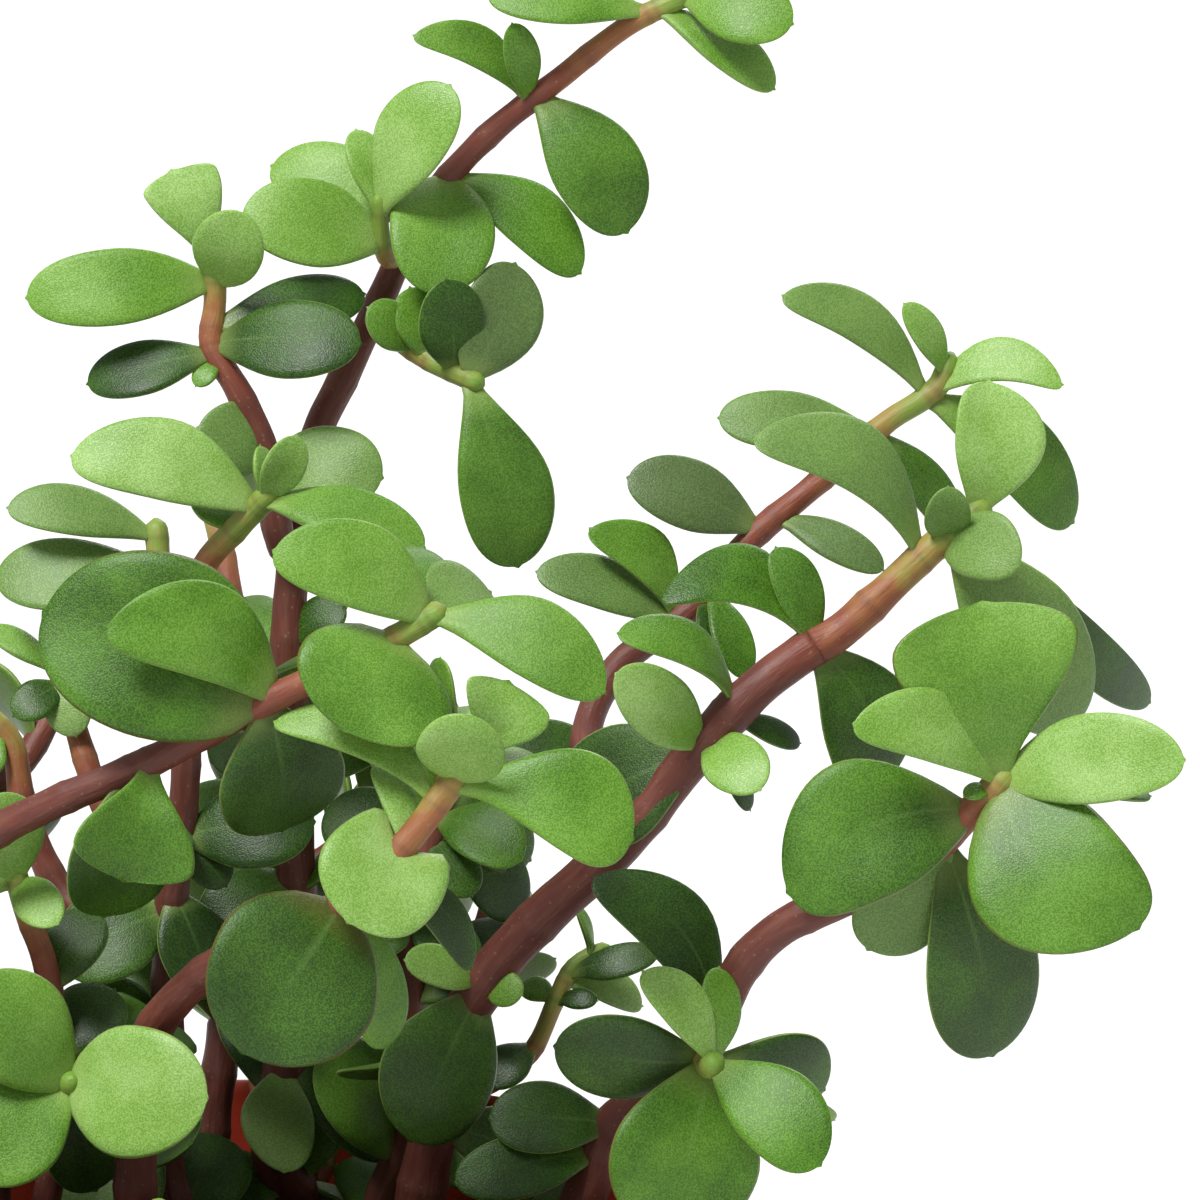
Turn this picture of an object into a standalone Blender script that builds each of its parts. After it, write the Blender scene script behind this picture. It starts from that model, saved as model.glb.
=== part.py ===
"""A potted elephant bush: a round plastic pot, its soil, and the leafy stems that stand in it.

Metres, +Z up. The origin is the centre of the pot's flat underside, and the plant is looked at along +Y.
Each leafy stem is one solid: its bark and branches with every leaf that grows on them fused in.
"""

import math
import random
from collections import namedtuple

import bmesh
import bpy
from mathutils import Matrix, Vector
from mathutils.bvhtree import BVHTree

MM = 0.001

# Pot
POT_HEIGHT = 87 * MM
POT_RADIUS = 45 * MM
POT_BASE_RADIUS = 33 * MM
POT_WALL = 1.6 * MM
POT_FLOOR = 2.4 * MM
BAND_HEIGHT = 13 * MM
BAND_STEP = 1.8 * MM
LIP_RADIUS = 1.0 * MM
FOOT_CHAMFER = 1.5 * MM
BAND_CHAMFER = 0.6 * MM
INNER_SHOULDER = 1.0 * MM
POT_SEGMENTS = 36
DRAIN_HOLES = 6
DRAIN_RADIUS = 3.5 * MM
DRAIN_SIDES = 14
DRAIN_CIRCLE = 22 * MM

# Soil
SOIL_TOP = 77 * MM
SOIL_DOME = 1.5 * MM
SOIL_SEGMENTS = 28
HOLE_SIDES = 10
GAP = 0.3 * MM
ROOT_DEPTH = 14 * MM

# The picture plane: an upright square through the pot's axis, seen from a little above
PICTURE = 120 * MM
PICTURE_CENTRE = Vector((36 * MM, 0, 146 * MM))
VIEW_DISTANCE = 1.0
VIEW_FALL = math.radians(10)
VIEW_LINE = Vector((0, math.cos(VIEW_FALL), -math.sin(VIEW_FALL)))
VIEW_UP = Vector((0, math.sin(VIEW_FALL), math.cos(VIEW_FALL)))
EYE = PICTURE_CENTRE - VIEW_DISTANCE * VIEW_LINE

TO_FRONT = Vector((0, -1, 0))
SHARP_ANGLE = math.radians(40)

# Stems and leaves
LINE_STEP = 1 * MM
BARK_STEP = 10 * MM
BARK_SIDES = 6
LEAF_THICKNESS = 1.7 * MM
LEAF_NECK = 0.14
LEAF_WIDEST = 0.6
FAN_WIDEST = 0.3
LOBED = 0.9
LOBE = 0.3
LOBE_PLACE = 0.12
LEAF_CLEARANCE = 0.45 * MM
POT_MARGIN = 1.3 * MM
PAIR_SPACING = 12 * MM
END_MARGIN = 2  # steps of a branch's line that stay bare at its end, so that its last leaves join it

# Places of the picture, and their radii, where the white or the pot's far wall shows through the bush
NEAR_SIDE = -14 * MM
OPEN_PLACES = (
    ((24.5, 112.5), 2.4),
    ((22.8, 109.8), 2.4),
    ((24.4, 58), 2),
    ((9.4, 53.4), 1.6),
    ((12, 53.6), 1.6),
    ((10.6, 74.1), 1.6),
    ((5.8, 76.4), 2.2),
    ((37, 61.8), 1.6),
    ((18.9, 51.2), 1.4),
    ((52.1, 101.7), 2.2),
    ((54.2, 107.6), 2.4),
    ((58.2, 93.6), 1.6),
    ((61.3, 91.8), 2.6),
    ((56.8, 101.9), 1.4),
    ((54, 86.8), 1.2),
    ((51.4, 88.2), 1),
    ((75, 63.6), 2.6),
    ((80.6, 74), 2),
    ((28, 39.5), 3.4),
    ((60.3, 110.3), 1),
    ((21.6, 79.6), 0.9),
    ((17.2, 78.7), 0.8),
    ((0.8, 93.5), 1.2),
    ((2, 61.6), 1.4),
    ((2, 65.5), 1),
    ((60.6, 62.7), 2.6),
    ((48.5, 67.2), 3.4),
    ((28.7, 39.2), 2.4),
)

Leaf = namedtuple("Leaf", "root tip face width arch fold sweep round in_photo")
Branch = namedtuple("Branch", "line radii")


def seen(across, down, ahead):
    """The point seen these millimetres from the picture's left and top edges, that far before the axis."""
    spot = (
        PICTURE_CENTRE
        + Vector(((across * MM - PICTURE / 2), 0, 0))
        + VIEW_UP * (PICTURE / 2 - down * MM)
    )
    ray = spot - EYE
    return EYE + ray * ((-ahead * MM - EYE.y) / ray.y)


def in_picture(point):
    """Where a point is seen: millimetres from the picture's left and top edges."""
    ray = point - EYE
    spot = ray * (VIEW_DISTANCE / ray.dot(VIEW_LINE)) + EYE - PICTURE_CENTRE
    return Vector(((spot.x + PICTURE / 2) / MM, (PICTURE / 2 - spot.dot(VIEW_UP)) / MM))


def smooth_line(points, step=LINE_STEP):
    """Evenly spaced points on a smooth curve through the given ones."""
    spans = [(b - a).length for a, b in zip(points, points[1:])]
    slopes = [(points[1] - points[0]) / spans[0]]
    for i in range(1, len(points) - 1):
        before = (points[i] - points[i - 1]) / spans[i - 1]
        after = (points[i + 1] - points[i]) / spans[i]
        slopes.append((before * spans[i] + after * spans[i - 1]) / (spans[i] + spans[i - 1]))
    slopes.append((points[-1] - points[-2]) / spans[-1])
    line = [points[0]]
    for i, span in enumerate(spans):
        count = max(1, round(span / step))
        for k in range(1, count + 1):
            t = k / count
            line.append(
                points[i] * (2 * t**3 - 3 * t**2 + 1)
                + slopes[i] * span * (t**3 - 2 * t**2 + t)
                + points[i + 1] * (3 * t**2 - 2 * t**3)
                + slopes[i + 1] * span * (t**3 - t**2)
            )
    return line


def branch(points, thick, thin):
    """A branch through these points, with its first and last diameters in millimetres."""
    line = smooth_line(points)
    last = len(line) - 1
    radii = [(thick + (thin - thick) * i / last) * MM / 2 for i in range(last + 1)]
    return Branch(line, radii)


def standing(foot_x, foot_y, points, thick, thin):
    """A branch that stands upright in the soil at its foot and then runs through the given points."""
    foot = Vector((foot_x * MM, foot_y * MM, SOIL_TOP))
    heights = (-ROOT_DEPTH, -ROOT_DEPTH / 2, 0, 5 * MM)
    return branch([foot + Vector((0, 0, h)) for h in heights] + points, thick, thin)


def side_shoot(parent, points, thick, thin):
    """A branch that starts inside its parent, at the point of it nearest to where the shoot begins."""
    start = min(parent.line, key=lambda p: (p - points[0]).length)
    return branch([start] + points, thick, thin)


def forward(line, i):
    """The direction in which a branch runs at its point i."""
    return (line[min(i + 2, len(line) - 1)] - line[max(i - 2, 0)]).normalized()


def across_to(direction, line):
    """The part of a direction that is square to a line, as a unit vector."""
    return (direction - line * direction.dot(line)).normalized()


def seen_leaf(on, base, tip, out, width, turn=20, arch=0.08, fold=0.05, sweep=0.0, round_=0.2):
    """A leaf from the photograph's side, rooted where the branch passes nearest to the base as seen.

    The tip lies `out` millimetres nearer to the eye than the root. The upper face looks at the eye
    at a turn of 0 degrees, along the branch at 90, and away from the eye beyond that. The arch lifts
    the middle of the blade, the fold its edges, and the sweep bows it to its right as seen from above.
    """
    target = Vector(base)
    places = range(len(on.line) - END_MARGIN)
    i = min(places, key=lambda k: (in_picture(on.line[k]) - target).length)
    root = on.line[i]
    end = seen(*tip, -root.y / MM + out)
    axis = (end - root).normalized()
    to_eye = across_to(-VIEW_LINE, axis)
    to_side = axis.cross(to_eye)
    if to_side.dot(forward(on.line, i)) < 0:
        to_side = -to_side
    angle = math.radians(turn)
    face = to_eye * math.cos(angle) + to_side * math.sin(angle)
    return Leaf(root, end, face, width * MM, arch, fold, sweep, round_, True)


def leaf_pairs(on, rng, first, last, length, spacing=PAIR_SPACING, toward=TO_FRONT):
    """Opposite pairs along a branch, each pair a quarter turn on from the one before, smaller to the tip.

    The upper faces look partly up along the branch and partly towards the open side of the bush.
    """
    count = max(1, round((last - first) * len(on.line) * LINE_STEP / spacing))
    leaves = []
    quarter = rng.uniform(0, math.pi)
    for k in range(count + 1):
        place = first + (last - first) * k / count
        i = round(place * (len(on.line) - 1 - END_MARGIN))
        ahead = forward(on.line, i)
        side = across_to(Vector((math.cos(quarter), math.sin(quarter), 0.4)), ahead)
        side = Matrix.Rotation(k * math.pi / 2 + rng.uniform(-0.25, 0.25), 3, ahead) @ side
        for sign in (1, -1):
            size = length * MM * (1 - 0.3 * place**3) * rng.uniform(0.8, 1.1)
            spread = rng.uniform(0.25, 0.75)
            reach = (side * sign + ahead * spread + toward * 0.15).normalized()
            light = ahead * rng.uniform(0.3, 0.9) + toward * rng.uniform(0.6, 1.3)
            face = across_to(light + Vector((0, 0, 0.35)), reach)
            tip = on.line[i] + reach * (size + on.radii[i])
            width = size * rng.uniform(0.68, 0.86)
            arch = rng.uniform(0.02, 0.12)
            fold = rng.uniform(-0.05, 0.15)
            sweep = rng.uniform(-0.06, 0.06)
            round_ = rng.uniform(0, 0.5)
            leaves.append(Leaf(on.line[i], tip, face, width, arch, fold, sweep, round_, False))
    return leaves


def compass(bearing):
    """The level direction of a compass bearing, with north along +Y."""
    angle = math.radians(bearing)
    return Vector((math.sin(angle), math.cos(angle), 0))


def leaning_path(bearing, out, reach, rise, rng):
    """A path that leaves its foot, `out` from the axis, and leans outwards on a compass bearing."""
    outward = compass(bearing)
    sideways = Vector((outward.y, -outward.x, 0))
    sway = rng.uniform(-6, 6) * MM
    points = []
    for k in range(1, 6):
        t = k / 5
        spot = outward * (out + reach * t**1.4) * MM + sideways * sway * math.sin(2.5 * t)
        points.append(spot + Vector((0, 0, SOIL_TOP + (5 + (rise - 5) * t**0.85) * MM)))
    return points


def leaning_stem(bearing, out, reach, rise, rng):
    """An upright-footed branch on a leaning path."""
    foot = compass(bearing) * out
    path = leaning_path(bearing, out, reach, rise, rng)
    return standing(foot.x, foot.y, path, 4.2, 2.4)


def leaning_shoot(parent, place, turn, length, rng):
    """A side shoot that leaves its parent part of the way up, turned about it, and rises as it grows."""
    i = round(place * (len(parent.line) - 1))
    ahead = forward(parent.line, i)
    side = Matrix.Rotation(math.radians(turn), 3, ahead) @ across_to(Vector((0, 0, 1)), ahead)
    points = []
    for k in range(1, 4):
        t = k / 3
        lift = Vector((0, 0, 0.25 * t * t * rng.uniform(0.6, 1.4)))
        points.append(parent.line[i] + (ahead * 0.6 + side * 0.8 + lift) * length * t * MM)
    return side_shoot(parent, points, 3.0, 2.2)


# The leafy stems, each as its branches and its leaves


def right_leader():
    """The thick stem that climbs to the right, and the branch that climbs behind it."""
    leader = standing(
        17.5,
        -2,
        [
            seen(43.2, 114, 3),
            seen(44.5, 106, 4),
            seen(49, 97.5, 6),
            seen(56, 90, 8),
            seen(60, 86.5, 9),
            seen(70.2, 74.6, 10),
            seen(75, 69.4, 10),
            seen(80.2, 65.4, 9),
            seen(81.4, 64.6, 8.8),
        ],
        5.4,
        3.9,
    )
    upper = side_shoot(
        leader,
        [
            seen(83.4, 63.6, 8.6),
            seen(87.4, 60.2, 8),
            seen(92, 55.9, 7),
            seen(96, 52.6, 6),
            seen(99, 50.2, 5),
        ],
        3.8,
        2.6,
    )
    rear = side_shoot(
        leader,
        [
            seen(59.7, 86.5, 8),
            seen(59.2, 80, 2),
            seen(59.2, 71.2, -8),
            seen(61.5, 67, -11),
            seen(69, 61, -14),
            seen(74.5, 54.5, -16),
            seen(81.5, 48.5, -18),
            seen(89, 42, -20),
            seen(94, 38.3, -21),
            seen(95.2, 35.2, -22),
        ],
        3.4,
        2.2,
    )
    leaves = [
        seen_leaf(leader, (49, 99.6), (41, 114), 6, 12.2, 20, sweep=0.05, round_=0.4),
        seen_leaf(leader, (48.4, 98), (52.2, 99.5), 4, 3.8, 10),
        seen_leaf(leader, (48, 98.2), (40.5, 96), 4, 4.8, 30),
        seen_leaf(leader, (43.6, 112), (58, 118.4), -5, 9.4, 25),
        seen_leaf(leader, (69.8, 73.6), (61.6, 67.4), 9, 7.2, 15),
        seen_leaf(leader, (69.8, 73.4), (76, 79), 8, 6.4, 10, round_=0.5),
        seen_leaf(leader, (70.4, 74), (75, 81), -2, 2.8, 30),
        seen_leaf(leader, (70, 73.8), (56.4, 80.8), -5, 12.4, 20, sweep=-0.04),
        seen_leaf(leader, (73.4, 70.6), (61.8, 63.4), 6, 6, 48, arch=0.16, sweep=0.1),
        seen_leaf(leader, (73.2, 71.8), (80, 74.3), -4, 3.2, 35, sweep=0.04),
        seen_leaf(upper, (81.8, 64.6), (66.3, 59.8), 3, 7.2, 35, arch=0.12, sweep=0.27, round_=0.5),
        seen_leaf(upper, (81.4, 64.8), (77.6, 54.8), -1, 5.2, 20, sweep=0.04, round_=0.3),
        seen_leaf(upper, (81.4, 64.6), (87, 79.6), -4, 10.2, 22, sweep=-0.12, round_=0.4),
        seen_leaf(upper, (92, 55.6), (75.5, 43.8), 4, 8, 32, arch=0.12, sweep=0.17, round_=0.3),
        seen_leaf(upper, (95, 53.4), (107.6, 72.4), -8, 12.4, 18, sweep=0.02, round_=0.3),
        seen_leaf(upper, (96, 53), (115, 70.2), -18, 6.2, 30, sweep=0.07),
        seen_leaf(upper, (98.4, 50.8), (98.9, 38.2), -3, 9.6, 15, fold=0.2, sweep=0.09, round_=0.3),
        seen_leaf(upper, (95.2, 54.6), (94.8, 48.7), 4, 4.8, 10, fold=0.15, round_=0.8),
        seen_leaf(upper, (94.6, 54.2), (102, 56.4), 6, 7, 5, arch=0.04, sweep=-0.06, round_=0.9),
        seen_leaf(rear, (66, 61), (53.7, 57.2), 3, 6.2, 30, sweep=0.04),
        seen_leaf(rear, (67.2, 61.4), (59, 52.9), 2, 5.8, 25, fold=0.2, sweep=0.16, round_=0),
        seen_leaf(rear, (70.5, 59.5), (71.6, 66.5), 5, 4, 30),
        seen_leaf(rear, (71, 59), (74.4, 67.8), 5, 4.6, 30),
        seen_leaf(rear, (75.6, 52.8), (62.8, 47.8), 3, 7.6, 20, arch=0.08, sweep=0.03),
        seen_leaf(rear, (77.4, 51.8), (88.3, 57), 3, 4.6, 30),
        seen_leaf(rear, (87.5, 43), (71.9, 41.8), 2, 6.6, 22, arch=0.06),
        seen_leaf(rear, (88, 44), (95.8, 53.4), -4, 5.6, 35),
        seen_leaf(rear, (92.4, 39.4), (78.3, 29.6), 3, 6, 30, arch=0.06, sweep=0.13),
        seen_leaf(rear, (92.4, 39.6), (107.3, 52.2), -5, 8.8, 22, sweep=-0.06),
        seen_leaf(rear, (94.6, 35.4), (90.4, 30.4), 3, 3.8, 30, fold=0.2),
        seen_leaf(rear, (93, 39.2), (106.2, 38.5), 3, 5.2, 28, fold=0.1, sweep=-0.2, round_=0.8),
    ]
    return [leader, upper, rear], leaves


def low_right():
    """The arching stem below the leader, with the short shoot on its near side."""
    arm = standing(
        33,
        -13,
        [
            seen(59.5, 117, 14),
            seen(61.5, 112.5, 15),
            seen(65, 109.5, 16),
            seen(69, 106, 17),
            seen(71.8, 101.4, 18),
            seen(74, 97, 19),
            seen(78.1, 92.8, 20),
            seen(84, 90.2, 21),
            seen(91, 87, 22),
            seen(96.5, 81.8, 22),
            seen(101.4, 76.8, 22),
        ],
        5.2,
        2.8,
    )
    shoot = side_shoot(arm, [seen(70.6, 106, 20), seen(71.4, 106.4, 27)], 3.2, 2.4)
    leaves = [
        seen_leaf(arm, (71.2, 102), (59.6, 87.7), -2, 8, 25, sweep=0.14, round_=0.4),
        seen_leaf(arm, (61.5, 112.5), (49, 111.8), 2, 7.6, 20),
        seen_leaf(arm, (60, 115), (45.6, 118.4), 5, 6.8, 20),
        seen_leaf(arm, (95, 84), (86.8, 94.9), 0, 9.4, 20),
        seen_leaf(arm, (94.8, 84.4), (99.3, 105.5), -4, 12.4, 22, round_=0),
        seen_leaf(arm, (97, 80.4), (78.8, 89.2), 4, 14, 8, sweep=0.12, round_=0.5),
        seen_leaf(arm, (101.2, 76), (98.2, 60.3), 1, 18.2, 8, fold=0.2, sweep=-0.04, round_=-0.65),
        seen_leaf(arm, (101.2, 76.8), (113.8, 92.8), 8, 15.6, 5, sweep=0.16, round_=0.8),
        seen_leaf(arm, (101.2, 75), (85.4, 72.4), 8, 7.2, 12, sweep=0.14, round_=0.5),
        seen_leaf(arm, (101.6, 75.6), (118.4, 76), 8, 9, 10, arch=0.04, sweep=-0.06, round_=0.6),
        seen_leaf(arm, (100.8, 77), (115, 79.6), -3, 7, 62),
        seen_leaf(arm, (99.5, 78.8), (96.4, 79.6), 2, 2.2, 40),
        seen_leaf(shoot, (70.6, 105.8), (55.5, 104.6), 3, 9, 20),
        seen_leaf(shoot, (71.2, 106), (64.3, 97.2), 2, 5.4, 25, sweep=0.08),
        seen_leaf(shoot, (71.2, 106), (71.9, 96.8), -4, 5, 35),
        seen_leaf(shoot, (71.4, 106.4), (82, 116.5), 8, 9, 10, sweep=-0.05),
        seen_leaf(shoot, (71, 106), (82.4, 109), -8, 7.8, 22, sweep=-0.16),
        seen_leaf(shoot, (71, 106.2), (65.8, 123.5), 5, 15.4, 18, round_=0.4),
        seen_leaf(shoot, (71, 106.2), (83.4, 112), -13, 4.4, 30),
    ]
    return [arm, shoot], leaves


def top_stem():
    """The tall stem behind, its three shoots and the branch that stands beside it on the left."""
    tall = standing(
        4.5,
        16,
        [
            seen(28.5, 118, -15),
            seen(29.5, 100, -14),
            seen(29.5, 80, -12),
            seen(29, 60, -14),
            seen(32, 42.5, -18),
            seen(34.5, 37.5, -20),
            seen(38.8, 28.3, -22),
            seen(42, 21.5, -22),
            seen(47.5, 14.8, -22),
            seen(56, 7.8, -21),
            seen(64, 1.8, -20),
            seen(70, -1, -20),
        ],
        5,
        2,
    )
    left = side_shoot(
        tall,
        [
            seen(28.5, 55, -12),
            seen(25.8, 43, -10),
            seen(23.5, 38.5, -10),
            seen(21.2, 34.5, -11),
            seen(21.5, 30, -12),
            seen(21.2, 25.5, -12),
        ],
        3.2,
        2.2,
    )
    low_shoot = side_shoot(
        tall, [seen(38, 32.5, -20), seen(43, 36, -16), seen(48.4, 38.6, -13)], 2.6, 2
    )
    high_shoot = side_shoot(tall, [seen(38.9, 26, -20), seen(37.8, 19.4, -17)], 2.0, 1.5)
    leaves = [
        seen_leaf(tall, (29.4, 106), (28.4, 117.2), 8, 7.6, 15, sweep=0.08, round_=0),
        seen_leaf(tall, (29.4, 105), (40.5, 115), 3, 10, 25),
        seen_leaf(tall, (29.2, 88), (20.6, 94), 4, 9, 20, round_=0.5),
        seen_leaf(tall, (29.4, 93), (40, 99), 2, 9.6, 25, round_=0.5),
        seen_leaf(tall, (41.6, 22), (27.2, 16.6), -4, 8, 20, sweep=0.05),
        seen_leaf(high_shoot, (37.8, 20), (35.6, 13), -3, 4.6, 25),
        seen_leaf(high_shoot, (37.8, 19), (45, 8.6), 2, 8.6, 25, sweep=-0.02, round_=0.1),
        seen_leaf(high_shoot, (38.8, 24), (24.2, 21.6), 4, 9.2, 15, sweep=0.03, round_=0.6),
        seen_leaf(tall, (44.6, 17.6), (43.3, 29.4), 9, 11, 5, round_=0.85),
        seen_leaf(tall, (46.4, 19), (58, 27.3), 3, 7.2, 25, sweep=-0.07),
        seen_leaf(tall, (53.2, 10.2), (41.4, 3.6), 4, 4.6, 20, fold=0.2, sweep=0.14, round_=0.3),
        seen_leaf(tall, (53.2, 10.2), (51.2, 2.4), 4, 4, 25, round_=0),
        seen_leaf(tall, (54.4, 10), (62.7, 23.2), 3, 9.6, 15, sweep=-0.05, round_=0.3),
        seen_leaf(tall, (65, 1.2), (48.8, -0.4), 2, 6.6, 30),
        seen_leaf(tall, (66, 0.6), (77.4, 8.9), 1, 6, 40),
        seen_leaf(tall, (70, -1), (79.2, 2.4), 5, 7.4, 15),
        seen_leaf(tall, (70, -1), (68, -7), 0, 6.4, 40),
        seen_leaf(low_shoot, (43, 36), (41, 28.8), -1, 6, 22, round_=0.4),
        seen_leaf(low_shoot, (45.6, 37.4), (44.6, 28), 3, 7, 18, round_=0.4),
        seen_leaf(low_shoot, (41.6, 35), (36.8, 30.8), 3, 5, 25),
        seen_leaf(low_shoot, (46.6, 37.8), (51.5, 26.4), -3, 8.8, 20, sweep=0.03, round_=0.6),
        seen_leaf(low_shoot, (48.4, 38.8), (51.8, 56.6), 2, 9.8, 12, sweep=-0.02, round_=-0.1),
        seen_leaf(left, (21.2, 34.4), (36, 34.4), 5, 8.8, 22),
        seen_leaf(left, (21.4, 35.6), (8.8, 38.4), 0, 6.4, 30, sweep=-0.03),
        seen_leaf(left, (22.2, 36.4), (19.6, 38.6), 2, 2.6, 30),
        seen_leaf(tall, (28.8, 64), (34.6, 60.8), 2, 5, 25),
        seen_leaf(left, (21.4, 32.4), (36.4, 29.4), -4, 6.8, 30, sweep=0.03),
        seen_leaf(left, (21.4, 28.6), (2.7, 29.8), 2, 8.2, 12, round_=0.5),
        seen_leaf(left, (21, 28), (24.6, 21.4), 6, 7.4, 5, round_=0.8),
        seen_leaf(left, (20.6, 25.6), (17.2, 17.1), 0, 7.8, 8, fold=0.1, sweep=0.04, round_=-0.95),
        seen_leaf(left, (26.6, 46), (38.2, 47.8), 4, 9, 15, round_=0.6),
        seen_leaf(left, (26.6, 46.4), (19.8, 42.8), 3, 7.6, 20, sweep=0.04, round_=0.6),
    ]
    rng = random.Random(4)
    leaves += leaf_pairs(tall, rng, 0.12, 0.46, 14, spacing=10 * MM)
    return [tall, left, low_shoot, high_shoot], leaves


def left_middle():
    """The olive shoot at half height on the left, and the shoot behind it."""
    upright = standing(
        -7,
        4,
        [
            seen(16.8, 118, -4),
            seen(16.8, 100, -1),
            seen(17, 92, 1),
            seen(18.4, 80, 3),
            seen(19, 68, 4),
            seen(20.5, 56.5, 5),
            seen(24, 52.5, 7),
            seen(27.4, 49, 9),
        ],
        4.2,
        2.3,
    )
    behind = side_shoot(upright, [seen(18, 66, 1), seen(16, 58, -5), seen(15.6, 51.8, -7)], 3, 2.2)
    side = side_shoot(
        upright,
        [seen(13, 85, -1), seen(9.6, 79, -3), seen(7.8, 73.5, -5), seen(5.6, 65.4, -6)],
        2.8,
        2.2,
    )
    far = side_shoot(
        upright, [seen(7, 90, -6), seen(2.2, 80, -8), seen(1.2, 74.5, -9), seen(-3, 70, -10)], 3.2, 2.4
    )
    leaves = [
        seen_leaf(side, (6, 68.6), (1.4, 71.6), 3, 4.6, 25),
        seen_leaf(side, (5.8, 66.4), (-1.4, 62.8), -3, 3.2, 35),
        seen_leaf(side, (6.2, 67.4), (7.6, 73.6), 3, 4.8, 10, round_=0.5),
        seen_leaf(far, (0, 72.6), (-3, 77.4), 2, 6, 25),
        seen_leaf(upright, (25.6, 50.4), (7.2, 45.6), 0, 8.4, 15, sweep=0.09, round_=0.5),
        seen_leaf(upright, (26.2, 50.4), (42.4, 54.8), 4, 7.2, 40, arch=0.1),
        seen_leaf(upright, (27.4, 49), (29.6, 43.6), 2, 4.6, 25, fold=0.2),
        seen_leaf(upright, (27.2, 49.2), (26, 44.6), -1, 4, 60),
        seen_leaf(upright, (23.6, 53), (19.8, 49.6), -3, 4.6, 40),
        seen_leaf(upright, (18, 84), (31.4, 82.2), 2, 9.4, 20),
        seen_leaf(upright, (17.4, 89), (21.4, 100), 3, 8.2, 20, round_=0.5),
        seen_leaf(upright, (18, 84), (22.6, 88.6), 2, 5, 25),
        seen_leaf(upright, (17.2, 91), (6, 96.4), 3, 9.8, 20, round_=0.5),
        seen_leaf(upright, (17, 104), (7.4, 101), 2, 9, 20, round_=0.5),
        seen_leaf(upright, (17, 114), (10, 121), 2, 9, 20),
        seen_leaf(behind, (15.4, 50.8), (0.8, 50.8), 2, 5.8, 30, sweep=0.04),
        seen_leaf(behind, (15.8, 57.4), (-0.4, 58), 0, 8, 25, sweep=-0.03),
    ]
    rng = random.Random(8)
    leaves += leaf_pairs(upright, rng, 0.16, 0.74, 14, spacing=11 * MM)
    leaves += leaf_pairs(behind, rng, 0.5, 1, 12)
    return [upright, behind, side, far], leaves


def left_front():
    """The long stem that crosses the front from the left."""
    arm = standing(
        -33,
        -14,
        [
            seen(-9.5, 116, 16),
            seen(-10.5, 104, 18),
            seen(-9, 93, 21),
            seen(-5, 87, 23.5),
            seen(0, 83, 25),
            seen(5, 80.5, 26.5),
            seen(15, 76.2, 28.5),
            seen(24, 71.5, 30),
            seen(34, 66.5, 31),
            seen(39.5, 63.8, 31),
            seen(44.6, 60.7, 31),
        ],
        4.6,
        2.4,
    )
    leaves = [
        seen_leaf(arm, (14.8, 76.8), (12.3, 88), 4, 12.4, 16, fold=0.3, round_=-0.7),
        seen_leaf(arm, (13.4, 77), (10.4, 91.6), -5, 11, 25),
        seen_leaf(arm, (26.6, 70), (4.4, 61.2), -2, 18.4, 6, sweep=0.04, round_=0.9),
        seen_leaf(arm, (27.4, 69.4), (10.9, 62.6), 5, 9.4, 8, sweep=0.17, round_=0.7),
        seen_leaf(arm, (26.8, 70), (28.2, 83), -6, 13.6, 22),
        seen_leaf(arm, (39.6, 63.6), (34.3, 73), 7, 16.6, 5, sweep=-0.05, round_=0.85),
        seen_leaf(arm, (43.2, 61.4), (27.4, 55.1), 3, 8.6, 8, sweep=0.11, round_=0.6),
        seen_leaf(arm, (43, 61.8), (60.4, 69.2), 4, 8.2, 22, sweep=-0.09, round_=0.1),
        seen_leaf(arm, (42.4, 62), (49, 59.2), -6, 8, 20, sweep=-0.1),
        seen_leaf(arm, (42, 62.2), (42.2, 54.8), -7, 6, 25),
    ]
    rng = random.Random(2)
    leaves += leaf_pairs(arm, rng, 0.24, 0.46, 15)
    return [arm], leaves


def centre_front():
    """The thick stem that climbs through the front of the pot."""
    arm = standing(
        -10,
        -19,
        [
            seen(13.6, 114, 20),
            seen(14.2, 105.4, 22),
            seen(19.4, 98.2, 27),
            seen(29, 92.8, 34),
            seen(34, 90.5, 36.5),
            seen(40.9, 84, 36),
            seen(44.8, 78.8, 35),
            seen(48.4, 74, 34),
        ],
        5,
        2.4,
    )
    leaves = [
        seen_leaf(arm, (34, 90.8), (24.2, 105.2), 7, 17.2, 5, round_=0.9),
        seen_leaf(arm, (34, 90.6), (38.8, 104.6), -4, 7.4, 35),
        seen_leaf(arm, (40, 84.6), (34.8, 92.2), 6, 12.8, 3, round_=1),
        seen_leaf(arm, (38, 86.6), (47.1, 96.8), -3, 4.8, 30, sweep=-0.1),
        seen_leaf(arm, (40, 84.8), (37.6, 76.6), -4, 3.8, 25, sweep=0.1),
        seen_leaf(arm, (43.4, 80), (27.5, 72.2), -4, 5.4, 25, sweep=0.15),
        seen_leaf(arm, (45, 78.4), (63.2, 83.9), 2, 10.4, 15, sweep=-0.1, round_=-0.45),
        seen_leaf(arm, (45.2, 78), (47, 71.5), 6, 8.8, 0, round_=0.8),
        seen_leaf(arm, (47.6, 75), (50.8, 68.2), 0, 9, 12, fold=0.3, sweep=0.12, round_=-0.8),
        seen_leaf(arm, (46.8, 76), (55, 77), -4, 4.4, 55),
    ]
    return [arm], leaves


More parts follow.
